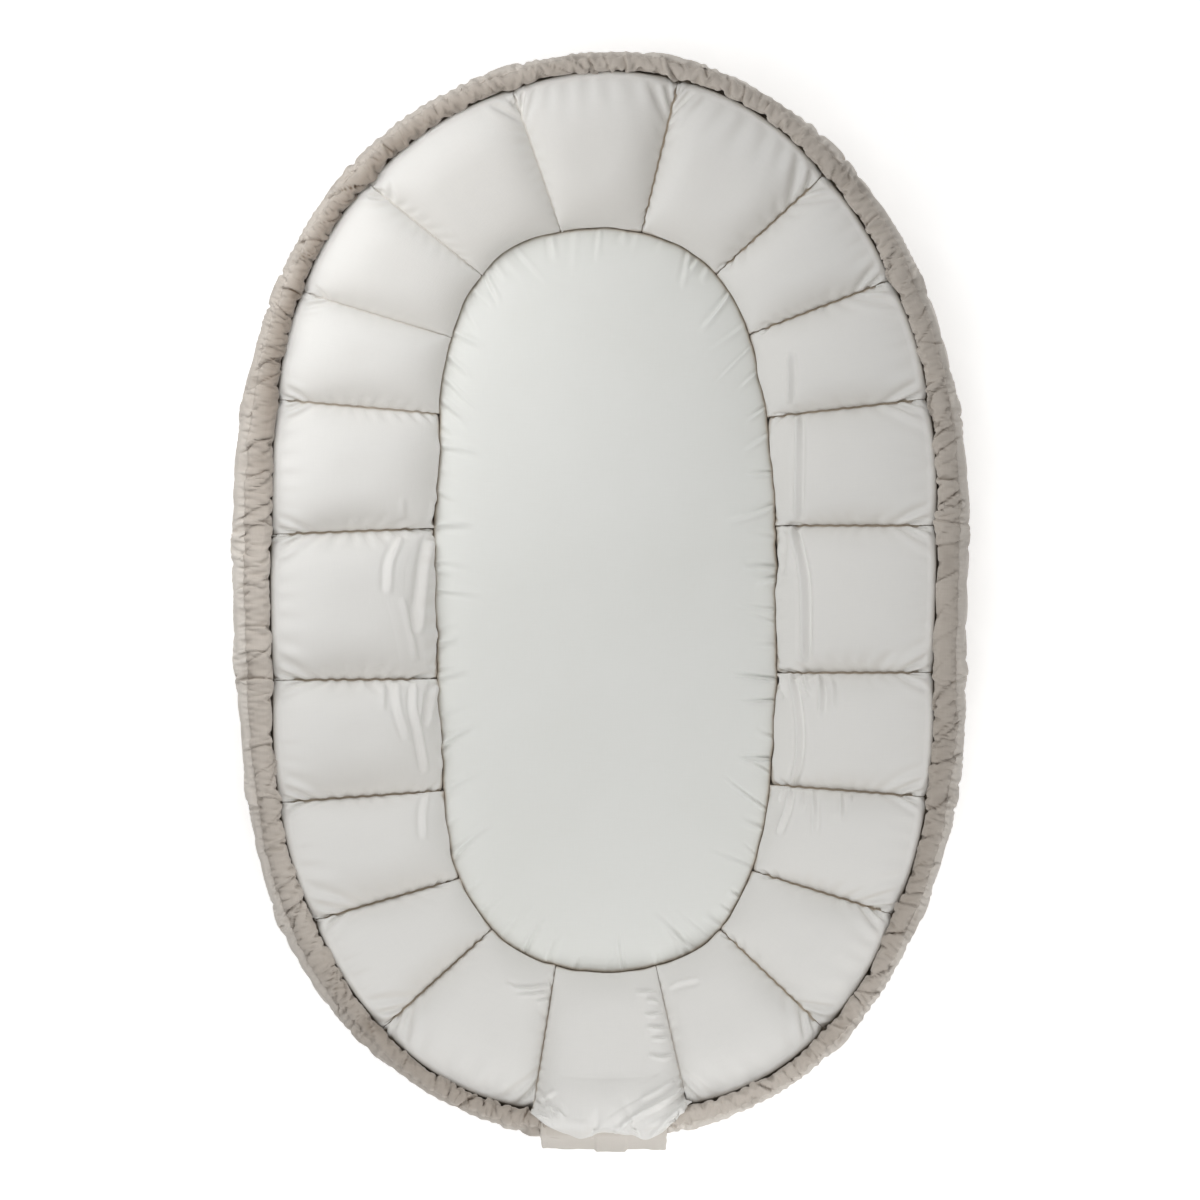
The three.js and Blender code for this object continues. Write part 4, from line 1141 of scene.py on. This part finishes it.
def make_outside():
    uv = length_uv(OUT["rest_u"], OUT["rest_v"], *OUT["X"].shape[:2]).reshape(*OUT["X"].shape[:2], 2)
    X, s = OUT["X"], OUT["s"]
    X, s, uv = finer(X, 2), finer(s, 2), finer(uv, 2)
    X, uv, stitch = finer_rows(X, 2, STITCH + 12), finer_rows(uv, 2, STITCH + 12), 2 * STITCH
    n, m = X.shape[:2]
    c = Cloth.__new__(Cloth)
    c.X = X
    N = Cloth.normals(c)
    rise = 0.5 * pleats(X, 701, stitch) + overlaps(X, s, 801, stitch)
    rise[:3] *= np.linspace(0, 1, 3)[:, None]
    rise[-3:] *= np.linspace(1, 0, 3)[:, None]
    X = X + N * rise[..., None]
    # painted shade: the bottoms of the folds are painted darker, more so on the side towards the chambers
    fold = np.clip(-rise / 1.6, 0, 1) ** 1.2
    inner, d = sections(s)[:2]
    OUT["edge_s"], OUT["edge"] = s, ((X[:, 2 : stitch - 3, :2] - inner[:, None]) * d[:, None]).sum(-1).min(1)
    # the casing: only as far as its two mouths, its underside closed below the stitches
    keep = np.nonzero((s >= 9.70) & (s <= 29.27))[0]
    C = X[keep][:, : stitch + 1]
    a, b = C[:, -1], C[:, 0]
    under = [a + (b - a) * t + np.array([0, 0, -2.2 * math.sin(math.pi * t)]) for t in (0.3, 0.6, 0.85)]
    C = np.concatenate([C, np.stack(under, 1)], 1)
    U = uv[keep][:, : stitch + 1]
    U = np.concatenate([U, np.stack([U[:, -1] + np.array([0, 20.0 * t]) for t in (0.3, 0.6, 0.85)], 1)], 1)
    k, q = C.shape[:2]
    casing = make_mesh("rim_casing", C, grid_faces(k, q), U.reshape(-1, 2), BEIGE)
    field = casing.data.attributes.new("seam", "FLOAT", "POINT")
    tint = 0.6 * fold[keep][:, : stitch + 1]
    # painted shade: the stretch at the head, left, turns its face to the chambers and away from the light, and is
    # painted darker, as are short stretches left and right of the foot, with some random patches
    turn = np.degrees(angle_at(SEAM_IN, s[keep])) % 360
    shade = np.interp(turn, [84, 107, 130, 162, 244, 252, 264, 270, 285, 302, 328, 350], [0, 0.62, 0.58, 0, 0, 0.3, 0.3, 0, 0.05, 0.26, 0.2, 0]) + 0.08 * np.clip(smooth_noise(s[keep], 0.5, 888), 0, 1)
    tint = np.pad(np.maximum(tint, 0) + shade[:, None] * np.clip((stitch - 3 - np.arange(stitch + 1)) / 5, 0, 1)[None, :], ((0, 0), (0, 3)))
    field.data.foreach_set("value", tint.astype(F).ravel())
    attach(casing, "nest")
    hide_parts("rim_tunnel")
    flat = (float(np.linalg.norm(np.diff(uv[keep][:, stitch], axis=0), axis=1).sum()) / 1000, float(OUT["rest_v"][:, :STITCH].mean(0).sum() + 20) / 1000)
    S = X[:, stitch:]
    U = uv[:, stitch:]
    k, q = S.shape[:2]
    # the shell gets the lighter copy of the beige cloth: painted light
    shell = make_mesh("wall_shell", S, grid_faces(k, q), U.reshape(-1, 2), PAINTED_LIGHTER_BEIGE)
    field = shell.data.attributes.new("seam", "FLOAT", "POINT")
    # painted shade on the shell: the fold bottoms, and the stretches at the head left and the foot left painted darker
    turn = np.degrees(angle_at(SEAM_IN, s)) % 360
    shade = np.interp(turn, [84, 107, 130, 162, 244, 252, 264, 270], [0, 0.28, 0.28, 0, 0, 0.3, 0.3, 0])
    field.data.foreach_set("value", (0.5 * fold[:, stitch:] + shade[:, None]).astype(F).ravel())
    weld(shell, 0.005)
    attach(shell, "nest")
    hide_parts("outer_shell")
    return flat


casing_flat = make_outside()

# ---------------------------------------------------------------- the lining
LIN = simulate_lining(OUT, 10, 29, LIN_PER, 61)
say("lining", LIN["X"].shape)
TOE = simulate_lining(OUT, 9, 10, 96, 62, foot=True)
say("foot chamber", TOE["X"].shape)


# Folds of the stuffed chambers, as lines in the photograph's pixels: where they run, how high in mm, how wide in px, and on
# which side their shadow lies (+1 is to the left when walking along the line).
WALL_FOLDS = [
    ([(798, 413), (798, 455), (797, 520)], 1.0, 2.0, 1), ([(792, 526), (801, 567), (804, 598), (804, 663)], 1.3, 2.2, 1), ([(781, 528), (785, 545), (781, 575)], -1.2, 3.2, 1),
    ([(780, 675), (783, 684), (786, 698)], 1.0, 1.5, -1), ([(790, 673), (796, 703), (799, 733), (797, 763), (790, 787)], 1.1, 1.7, 1), ([(803, 673), (806, 684), (811, 698)], 0.8, 1.8, -1),
    ([(817, 672), (821, 693), (820, 718)], 0.9, 2.0, 1), ([(829, 675), (833, 690), (833, 712)], 0.5, 2.2, 1), ([(791, 789), (786, 812), (777, 835)], 1.0, 1.5, 1), ([(783, 789), (779, 803)], 0.8, 1.4, 1),
    ([(812, 789), (814, 812), (813, 836)], 0.6, 1.8, 1), ([(840, 792), (841, 806), (840, 822)], 0.6, 1.8, 1), ([(802, 789), (803, 813)], 0.5, 1.6, 1), ([(850, 793), (850, 803)], 0.4, 1.5, 1),
    ([(789, 352), (790, 380), (789, 404)], 0.8, 2.0, 1), ([(402, 537), (391, 563), (389, 594)], 0.8, 2.2, -1), ([(432, 535), (425, 573), (419, 636)], 1.2, 2.4, -1), ([(402, 598), (410, 630), (416, 662)], 0.7, 2.4, 1),
    ([(415, 682), (414, 708), (419, 730), (427, 773)], 0.9, 1.8, -1), ([(397, 681), (399, 708), (409, 740)], 0.7, 2.0, -1), ([(437, 681), (431, 706), (428, 728)], 1.0, 1.8, -1), ([(383, 680), (383, 712)], 0.5, 2.0, 1),
    ([(422, 690), (419, 722)], 0.5, 1.6, 1), ([(433, 500), (431, 512), (428, 525)], 0.9, 1.8, 1), ([(402, 498), (403, 520)], 0.4, 2.2, 1), ([(428, 792), (424, 815), (425, 840)], 0.7, 1.8, -1),
    ([(685, 1089), (664, 1103), (632, 1120), (613, 1133)], 1.5, 2.4, 1), ([(689, 1105), (668, 1120), (650, 1137)], 1.1, 1.9, 1), ([(675, 1080), (655, 1094), (640, 1100)], 0.7, 2.2, 1),
    ([(534, 1100), (545, 1099), (556, 1090)], 0.9, 2.0, -1), ([(541, 1109), (552, 1108), (566, 1119)], 0.8, 1.8, 1), ([(634, 993), (646, 994), (657, 992)], 0.7, 1.4, 1), ([(645, 1001), (660, 1003)], 0.6, 1.2, 1),
    ([(644, 1015), (655, 1016), (664, 1013)], 0.7, 1.3, 1), ([(646, 1027), (658, 1030), (668, 1028)], 0.8, 1.4, 1), ([(650, 1039), (662, 1040), (671, 1037)], 0.7, 1.3, 1), ([(648, 1055), (662, 1059), (675, 1056)], 0.7, 1.5, 1),
    ([(510, 988), (530, 990), (551, 986)], 0.7, 1.5, 1), ([(516, 996), (534, 996), (550, 992)], 0.5, 1.4, 1), ([(505, 985), (515, 986)], 0.4, 1.4, 1), ([(536, 1003), (549, 1000)], 0.4, 1.2, 1), ([(668, 988), (680, 983), (700, 978)], 0.6, 1.6, -1),
]


def wall_folds(P):
    """The height of the folds at points P (mm)."""
    reach = 0.85 * (3825.0 - P[:, 2]) / 3825.0
    px, py = 600 + P[:, 0] / reach, 600 - P[:, 1] / reach
    lift = np.zeros(len(P))
    for line, height, wide, side in WALL_FOLDS:
        line = np.array(line, float)
        path = rows([tuple(q) for q in line], 8 * len(line)) if len(line) > 2 else line
        near = np.nonzero((px > path[:, 0].min() - 16) & (px < path[:, 0].max() + 16) & (py > path[:, 1].min() - 16) & (py < path[:, 1].max() + 16) & (P[:, 2] > 8))[0]
        if not len(near):
            continue
        q = np.stack([px[near], py[near]], -1)
        length = np.concatenate([[0], np.cumsum(np.linalg.norm(np.diff(path, axis=0), axis=1))])
        best, off, along = np.full(len(near), 1e9), np.zeros(len(near)), np.zeros(len(near))
        for a, b, la, lb in zip(path[:-1], path[1:], length[:-1], length[1:]):
            e = b - a
            f = (q - a) @ e / (e @ e)
            t = np.clip(f, 0, 1)
            gap = q - a - t[:, None] * e
            dist = np.linalg.norm(gap, axis=1)
            closer = dist < best
            sign = np.sign(gap[:, 0] * e[1] - gap[:, 1] * e[0])
            best = np.where(closer, dist, best)
            off = np.where(closer, sign * dist, off)
            along = np.where(closer, la + t * (lb - la), along)
        end = np.minimum(along, length[-1] - along)
        taper = np.clip(end / min(9.0, 0.42 * length[-1]), 0, 1) ** 0.7 * np.exp(-((np.clip(best - 14, 0, None)) ** 2))
        taper = np.where((along <= 1e-6) | (along >= length[-1] - 1e-6), 0, taper)
        right = path[0, 0] > 700 and path[0, 1] < 900
        x = off * side / ((1.2 if right else 1.5) * wide)
        lift[near] += (3.4 if right else 2.9) * height * taper * (np.exp(-(x**2)) - 0.75 * np.exp(-(((x - 1.75) / 1.1) ** 2)) + 0.22 * np.exp(-(((x + 2.6) / 2.2) ** 2)))
    return lift


def make_lining():
    V, Q, U, W, count = [], [], [], [], 0
    for part, shift in ((LIN, 0.0), (TOE, 4000.0)):
        X, s, width = part["X"], part["s"], part["width"]
        uv = length_uv(part["rest_u"], part["rest_v"], *X.shape[:2]).reshape(*X.shape[:2], 2)
        # a finer grid for the folds
        cols, rows_by = 2, 3
        n, m = X.shape[:2]
        X, s, uv = finer(X, cols), finer(s, cols), finer(uv, cols)
        X, uv = finer_rows(X, rows_by, m - 1), finer_rows(uv, rows_by, m - 1)
        width = width[np.minimum(np.arange(len(s)) // cols, n - 1)][:, np.minimum(np.arange(X.shape[1]) // rows_by, m - 1)]
        n, m = X.shape[:2]
        u = s - np.floor(s + 1e-7)
        c = Cloth.__new__(Cloth)
        c.X = X
        N = Cloth.normals(c)
        still = np.ones((n, m))
        still[:, :2] = 0
        still[:, -1] = 0
        beside = np.minimum(u, 1 - u)[:, None] * width
        lift = wall_folds(X.reshape(-1, 3)).reshape(n, m) * np.clip(beside / 5.0 - 0.1, 0, 1)
        # the lip keeps clear of the casing under it
        lift = np.where((X[..., 1] < -402) & (np.abs(X[..., 0]) < 80), np.maximum(lift, -0.35), lift)
        X = X + N * (lift * still)[..., None]
        # how deep in a seam each point lies
        gap = np.minimum(u, 1 - u)[:, None] * width
        deep = np.interp(s, np.arange(9, 30), [SEAM_DEPTH[q % CHAMBERS] for q in range(9, 30)])[:, None]
        # painted shade along each seam line, stronger on the deeper seams; it also stands for the seam thread
        tint = np.exp(-((gap / 1.5) ** 2)) * np.clip(3.0 * (deep - 0.40), 0.25, 0.9)
        # painted shade: the flanks that look towards the foot end and the right, away from the light, are painted a
        # little warmer and darker, and so is the cloth against the rim and the mattress
        side = 0.42 * N[..., 0] - 0.91 * N[..., 1]
        tint = np.maximum(tint, 0.13 * np.clip((side - 0.12) / 0.55, 0, 1) * np.clip((X[..., 2] - 20) / 20, 0, 1))
        inner, d = sections(s)[:2]
        r = ((X[..., :2] - inner[:, None]) * d[:, None]).sum(-1)
        top = np.argmax(X[..., 2], 1)
        beyond = np.arange(m)[None, :] - top[:, None]
        # painted shade where the cloth drops down into the gap under the rim
        if part is LIN:
            drop = np.take_along_axis(X[..., 2], top[:, None], 1) - X[..., 2]
            tint = np.maximum(tint, np.where(beyond > 0, 0.75 * np.clip((drop - 0.6) / 4.0, 0, 1), 0))
        # painted shade where the cloth meets the mattress
        tint = np.maximum(tint, 0.6 * np.clip((35 - X[..., 2]) / 6.0, 0, 1) * (r < 12))
        uv = uv.reshape(-1, 2)
        if part is TOE:
            # the hem of the lip turns under
            tip = X[:, -1]
            back = X[:, -1] - X[:, -4]
            back /= np.linalg.norm(back, axis=1, keepdims=True)
            turn = [tip + back * 0.6 + [0, 0, -0.7], tip + back * 0.5 + [0, 0, -1.6], tip - back * 1.4 + [0, 0, -2.3], tip - back * 6.0 + [0, 0, -2.2]]
            X = np.concatenate([X, np.stack(turn, 1)], 1)
            uv = uv.reshape(n, m, 2)
            uv = np.concatenate([uv, np.stack([uv[:, -1] + [0, 1.5 * (k + 1)] for k in range(4)], 1)], 1).reshape(-1, 2)
            m += 4
            tint = np.concatenate([tint, np.zeros((n, 4))], 1)
        W.append(tint.ravel())
        V.append(X.reshape(-1, 3))
        Q.append(grid_faces(n, m) + count)
        U.append(uv + [shift, 0])
        count += n * m
    ob = make_mesh("wall_chambers", np.concatenate(V), np.concatenate(Q), np.concatenate(U), CREAM)
    field = ob.data.attributes.new("seam", "FLOAT", "POINT")
    field.data.foreach_set("value", np.concatenate(W).astype(F))
    weld(ob, 0.005)
    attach(ob, "nest")
    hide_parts("wall_lining", *["wall_fill_%02d" % k for k in range(1, 21)])
    return ob


make_lining()


# ---------------------------------------------------------------- mattress
def make_mattress():
    X, at, D, T, length = mattress_grid()
    n, m = X.shape[:2]
    quads = closed_grid(X)
    uv = X[..., :2] + np.where(T < 0, 900.0, 0.0)[None, :, None]
    ob = make_mesh("mattress_pad", X, quads, uv.reshape(-1, 2), PAD)
    # painted shade: the top is painted darker and warmer within a few mm of its edge, where it meets the chambers, and
    # the sides and underside all over
    field = ob.data.attributes.new("seam", "FLOAT", "POINT")
    field.data.foreach_set("value", np.where(T[None, :] > 0, 0.85 * np.exp(-((D / 2.2) ** 2)), 0.6).astype(F).ravel())
    weld(ob, 0.2)
    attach(ob, "mattress")
    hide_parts("mattress_cover", "mattress_core")


make_mattress()
say("mattress")


# ---------------------------------------------------------------- floor of the nest
def disc(name, grow, z_top, z_bottom, material, top=None, bottom=None, rings=26, per=420):
    """A flat oval of cloth, with a rounded edge."""
    a = 2 * np.pi * np.arange(per) / per
    B = ring_point(MATTRESS_EDGE, a, grow)
    M = middle_line(B)
    half = 0.5 * (z_top - z_bottom)
    mid = 0.5 * (z_top + z_bottom)
    q = np.linspace(0, 1, rings) ** 0.8
    P, Z = [], []
    for t in q:  # underside from the middle out
        P.append(M + (B - M) * t), Z.append(-1)
    for k in range(1, 6):
        b = math.pi * k / 6
        P.append(B + (B - M) / np.linalg.norm(B - M, axis=1, keepdims=True) * (half * math.sin(b))), Z.append(-math.cos(b))
    for t in q[::-1]:
        P.append(M + (B - M) * t), Z.append(1)
    P = np.stack(P, 1)
    Z = np.array(Z, float)
    X = np.empty((per, P.shape[1], 3))
    X[..., :2] = P
    X[..., 2] = mid + half * Z[None, :]
    if top is not None:
        X[..., 2] += np.where(Z[None, :] > 0.99, top(X[..., 0], X[..., 1]), 0)
    if bottom is not None:
        X[..., 2] += np.where(Z[None, :] < -0.99, bottom(X[..., 0], X[..., 1]), 0)
    ob = make_mesh(name, X, closed_grid(X), (X[..., :2] + np.where(Z < 0, 900.0, 0.0)[None, :, None]).reshape(-1, 2), material)
    weld(ob, 0.2)
    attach(ob, "nest")
    return ob


def quilted(x, y):
    """Diamonds of stitching, 55 mm wide, pressed into the padded floor."""
    a, b = (x + 0.62 * y) / 55.0, (x - 0.62 * y) / 55.0
    line = np.minimum(np.abs(a - np.round(a)), np.abs(b - np.round(b))) * 55
    return 0.55 - 1.5 * np.exp(-((line / 2.6) ** 2)) + 0.25 * noise2(x, y, 18.0, 404)


floor_quilt = disc("floor_quilt", -2.2, 5.3, 1.9, CREAM, top=quilted, rings=90, per=640)
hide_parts("floor_lining", "floor_wadding")
base_cloth = disc("base_cloth", 1.6, 1.35, 0.0, BEIGE, bottom=lambda x, y: 0.18 + 0.14 * noise2(x, y, 26.0, 405), rings=60, per=640)
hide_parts("base_panel")


# ---------------------------------------------------------------- flap
def make_flap():
    wide, cols = 104.5, 121
    line = rows([(-430.0, 121.4), (-435.6, 120.2), (-440.0, 116.2), (-442.6, 109.0), (-446.45, 95.5), (-451.9, 75.0), (-456.7, 57.0), (-461.2, 40.0)], 96)
    tan = np.gradient(line, axis=0)
    tan /= np.linalg.norm(tan, axis=1, keepdims=True)
    out = np.stack([tan[:, 1], -tan[:, 0]], -1)  # away from the nest
    run = np.concatenate([[0], np.cumsum(np.linalg.norm(np.diff(line, axis=0), axis=1))])
    x = np.linspace(-wide / 2, wide / 2, cols)
    free = np.clip((run - 24) / 60, 0, 1)[None, :]

    def step(v, at, w):
        t = np.clip((v - at) / w + 0.5, 0, 1)
        return t * t * (3 - 2 * t)

    fold = 2.2 * (step(x, -7, 3) - step(x, 19, 3)) + 0.7 * step(x, 38, 9) - 0.6 * (1 - step(x, -38, 10))
    wave = 0.7 * noise2(x[:, None], run[None, :] * 0.35, 21.0, 501) + 0.25 * noise2(x[:, None], run[None, :] * 0.8, 7.0, 502)
    off = (fold[:, None] + wave) * (0.25 + 0.75 * free)
    side = np.abs(x) - (wide / 2 - 5.0)
    hem_side = np.exp(-((side / 0.8) ** 2))[:, None]
    hem_low = np.exp(-(((run - (run[-1] - 6.0)) / 0.8) ** 2))[None, :]
    sew = 0.22 * np.maximum(hem_side, hem_low)
    thick = 0.85
    edge_x = np.sqrt(np.clip(1 - np.clip((np.abs(x) - wide / 2 + 1.0) / 1.0, 0, 1) ** 2, 0.0, 1))[:, None]
    edge_v = np.sqrt(np.clip(1 - np.clip((run - run[-1] + 1.0) / 1.0, 0, 1) ** 2, 0.0, 1))[None, :]
    th = (thick - sew) * np.maximum(np.minimum(edge_x, edge_v), 0.06)
    xs = x[:, None] + 0.5 * noise2(x[:, None] * 0, run[None, :], 24.0, 503) * (np.abs(x[:, None]) / 50) ** 3
    front = np.empty((cols, len(run), 3))
    back = np.empty_like(front)
    for g, sign in ((front, 1), (back, -1)):
        g[..., 0] = LOCK[0] + xs
        g[..., 1] = line[None, :, 0] + out[None, :, 0] * (off + sign * th)
        g[..., 2] = line[None, :, 1] + out[None, :, 1] * (off + sign * th)
    # a soft, slightly uneven lower edge
    n, m = cols, len(run)
    V = np.concatenate([front.reshape(-1, 3), back.reshape(-1, 3)])
    k = n * m
    q1 = grid_faces(n, m, flip=True)
    q2 = grid_faces(n, m) + k
    i = np.arange(n - 1)
    j = np.arange(m - 1)
    a = i * m
    top = np.stack([a, a + m, a + m + k, a + k], -1)
    a = i * m + m - 1
    low = np.stack([a + m, a, a + k, a + m + k], -1)
    left = np.stack([j + 1, j, j + k, j + 1 + k], -1)
    a = (n - 1) * m + j
    right = np.stack([a, a + 1, a + 1 + k, a + k], -1)
    uv = np.stack(np.broadcast_arrays(x[:, None], run[None, :]), -1).reshape(-1, 2)
    ob = make_mesh("flap_cloth", V, np.concatenate([q1, q2, top, low, left, right]), np.concatenate([uv, uv + [300, 0]]), FLAP)
    bm = bmesh.new()
    bm.from_mesh(ob.data)
    bmesh.ops.recalc_face_normals(bm, faces=bm.faces)
    bm.to_mesh(ob.data)
    bm.free()
    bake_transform(ob)
    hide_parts("foot_flap")
    return run[-1]


flap_length = make_flap()


# ---------------------------------------------------------------- cord lock
def make_spring():
    turns, per = 5.0, 28
    n = int(turns * per) + 1
    t = np.linspace(0, 1, n)
    # the end turns lie closed
    pitch = np.interp(t, [0, 0.12, 0.88, 1], [0, 0.075, 0.925, 1])
    x = LOCK[0] - 13.95 + 6.9 * pitch
    a = 2 * np.pi * turns * t
    path = np.stack([x, LOCK[1] + 2.7 * np.cos(a), LOCK[2] + 2.7 * np.sin(a)], -1)
    sides = 10
    rings = tube(path, lambda i, b: np.full(sides, 0.25), sides)
    V = np.concatenate([[path[0] + (rings[0] - path[0]) * 0.05], rings, [path[-1] + (rings[-1] - path[-1]) * 0.05]])
    run = np.arange(len(V)) * 0.6
    uv = np.stack(np.broadcast_arrays(run[:, None], np.linspace(0, 1.57, sides)[None, :]), -1).reshape(-1, 2)
    ob = make_mesh("lock_coil", V, tube_faces(len(V), sides), uv, STEEL)
    weld(ob, 0.03)
    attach(ob, "cord_lock")
    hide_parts("lock_spring")
    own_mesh(ob)


make_spring()
for name in ("lock_body", "lock_plunger"):
    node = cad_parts[name]
    node.data.materials.clear()
    node.data.materials.append(PLASTIC)

# ---------------------------------------------------------------- floor and light
me = bpy.data.meshes.new("floor")
me.from_pydata([(-6, -6, 0), (6, -6, 0), (6, 6, 0), (-6, 6, 0)], [], [(0, 1, 2, 3)])
floor = bpy.data.objects.new("floor", me)
bpy.context.scene.collection.objects.link(floor)
floor.location.z = -0.0004
fm, ft, fb = shader("floor_paper", 0.9, (0.93, 0.93, 0.93), specular=0.2)
fb.inputs["Emission Color"].default_value = (1, 1, 1, 1)
k = Net(ft)
# painted shadow: the paper glows, and glows a little less where the nest stands between it and the light from the left,
# which paints a shadow to the right of the nest
near = k.node("ShaderNodeAmbientOcclusion", samples=8)
near.inputs["Distance"].default_value = 0.075
near.inputs["Normal"].default_value = (-0.80, 0.05, 0.60)
k.put(k.span(near.outputs["AO"], 0.25, 1.0, 0.20, 0.57), fb.inputs["Emission Strength"])
paper = k.noise(k.node("ShaderNodeTexCoord").outputs["Object"], 60.0, 3.0, 0.6)
k.put(k.mix(k.span(paper, 0.35, 0.65, 0, 1), (0.925, 0.925, 0.925, 1), (0.94, 0.94, 0.94, 1)), fb.inputs["Base Color"])
me.materials.append(fm)
floor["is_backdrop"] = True

world = bpy.data.worlds.new("studio")
bpy.context.scene.world = world
world.use_nodes = True
wk = Net(world.node_tree)
back = world.node_tree.nodes["Background"]
back.inputs[0].default_value = (1.0, 0.996, 0.988, 1)
# white screens: overhead, beyond the head end of the nest, beyond its head-left corner, and two low ones at the right and the head
SCREENS = [((90, 90), 2.0, 0.363), ((90, 28), 2.0, 0.441), ((135, 28), 2.0, 0.255), ((0, 9), 10.0, 0.78), ((90, 9), 10.0, 0.169)]
way = wk.node("ShaderNodeTexCoord").outputs["Generated"]


def screen(direction, power, strength):
    d = wk.node("ShaderNodeVectorMath", operation="DOT_PRODUCT")
    wk.put(way, d.inputs[0])
    d.inputs[1].default_value = Vector(direction).normalized()
    return wk.math("MULTIPLY", wk.math("POWER", wk.math("MAXIMUM", d.outputs["Value"], 0.0), power), strength)


total = 0.0
for (azimuth, elevation), power, strength in SCREENS:
    a, e = math.radians(azimuth), math.radians(elevation)
    total = wk.math("ADD", total, screen((math.cos(a) * math.cos(e), math.sin(a) * math.cos(e), math.sin(e)), power, strength))
wk.put(total, back.inputs[1])


def area(name, place, aim, size, watts, colour=(1, 1, 1)):
    l = bpy.data.lights.new(name, "AREA")
    l.shape, l.size, l.energy, l.color = "DISK", size, watts, colour
    o = bpy.data.objects.new(name, l)
    o.location = place
    o.rotation_euler = (Vector(aim) - Vector(place)).to_track_quat("-Z", "Y").to_euler()
    bpy.context.scene.collection.objects.link(o)


area("key left", (-0.45, 0.20, 0.50), (-0.225, 0.12, 0.05), 0.30, 0.68, (1.0, 1.0, 1.0))
area("key head", (-0.18, 0.33, 0.36), (-0.09, 0.198, 0.05), 0.30, 0.40, (1.0, 1.0, 1.0))
area("foot fill", (0.12, -0.75, 0.70), (0, 0, 0.05), 0.50, 2.52, (1.0, 0.997, 0.99))
area("foot far", (0.10, -1.70, 0.90), (0, 0, 0.05), 0.90, 1.53, (1.0, 0.997, 0.99))
bpy.context.scene.view_settings.view_transform = "Standard"

low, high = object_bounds()
say("size", [round(1000 * v, 1) for v in (*low, *high)], "cad", [round(1000 * v, 1) for v in (*cad_low, *cad_high)])
say("casing flat", casing_flat, "flap", round(flap_length, 1), "cord", round(cord_length, 1))
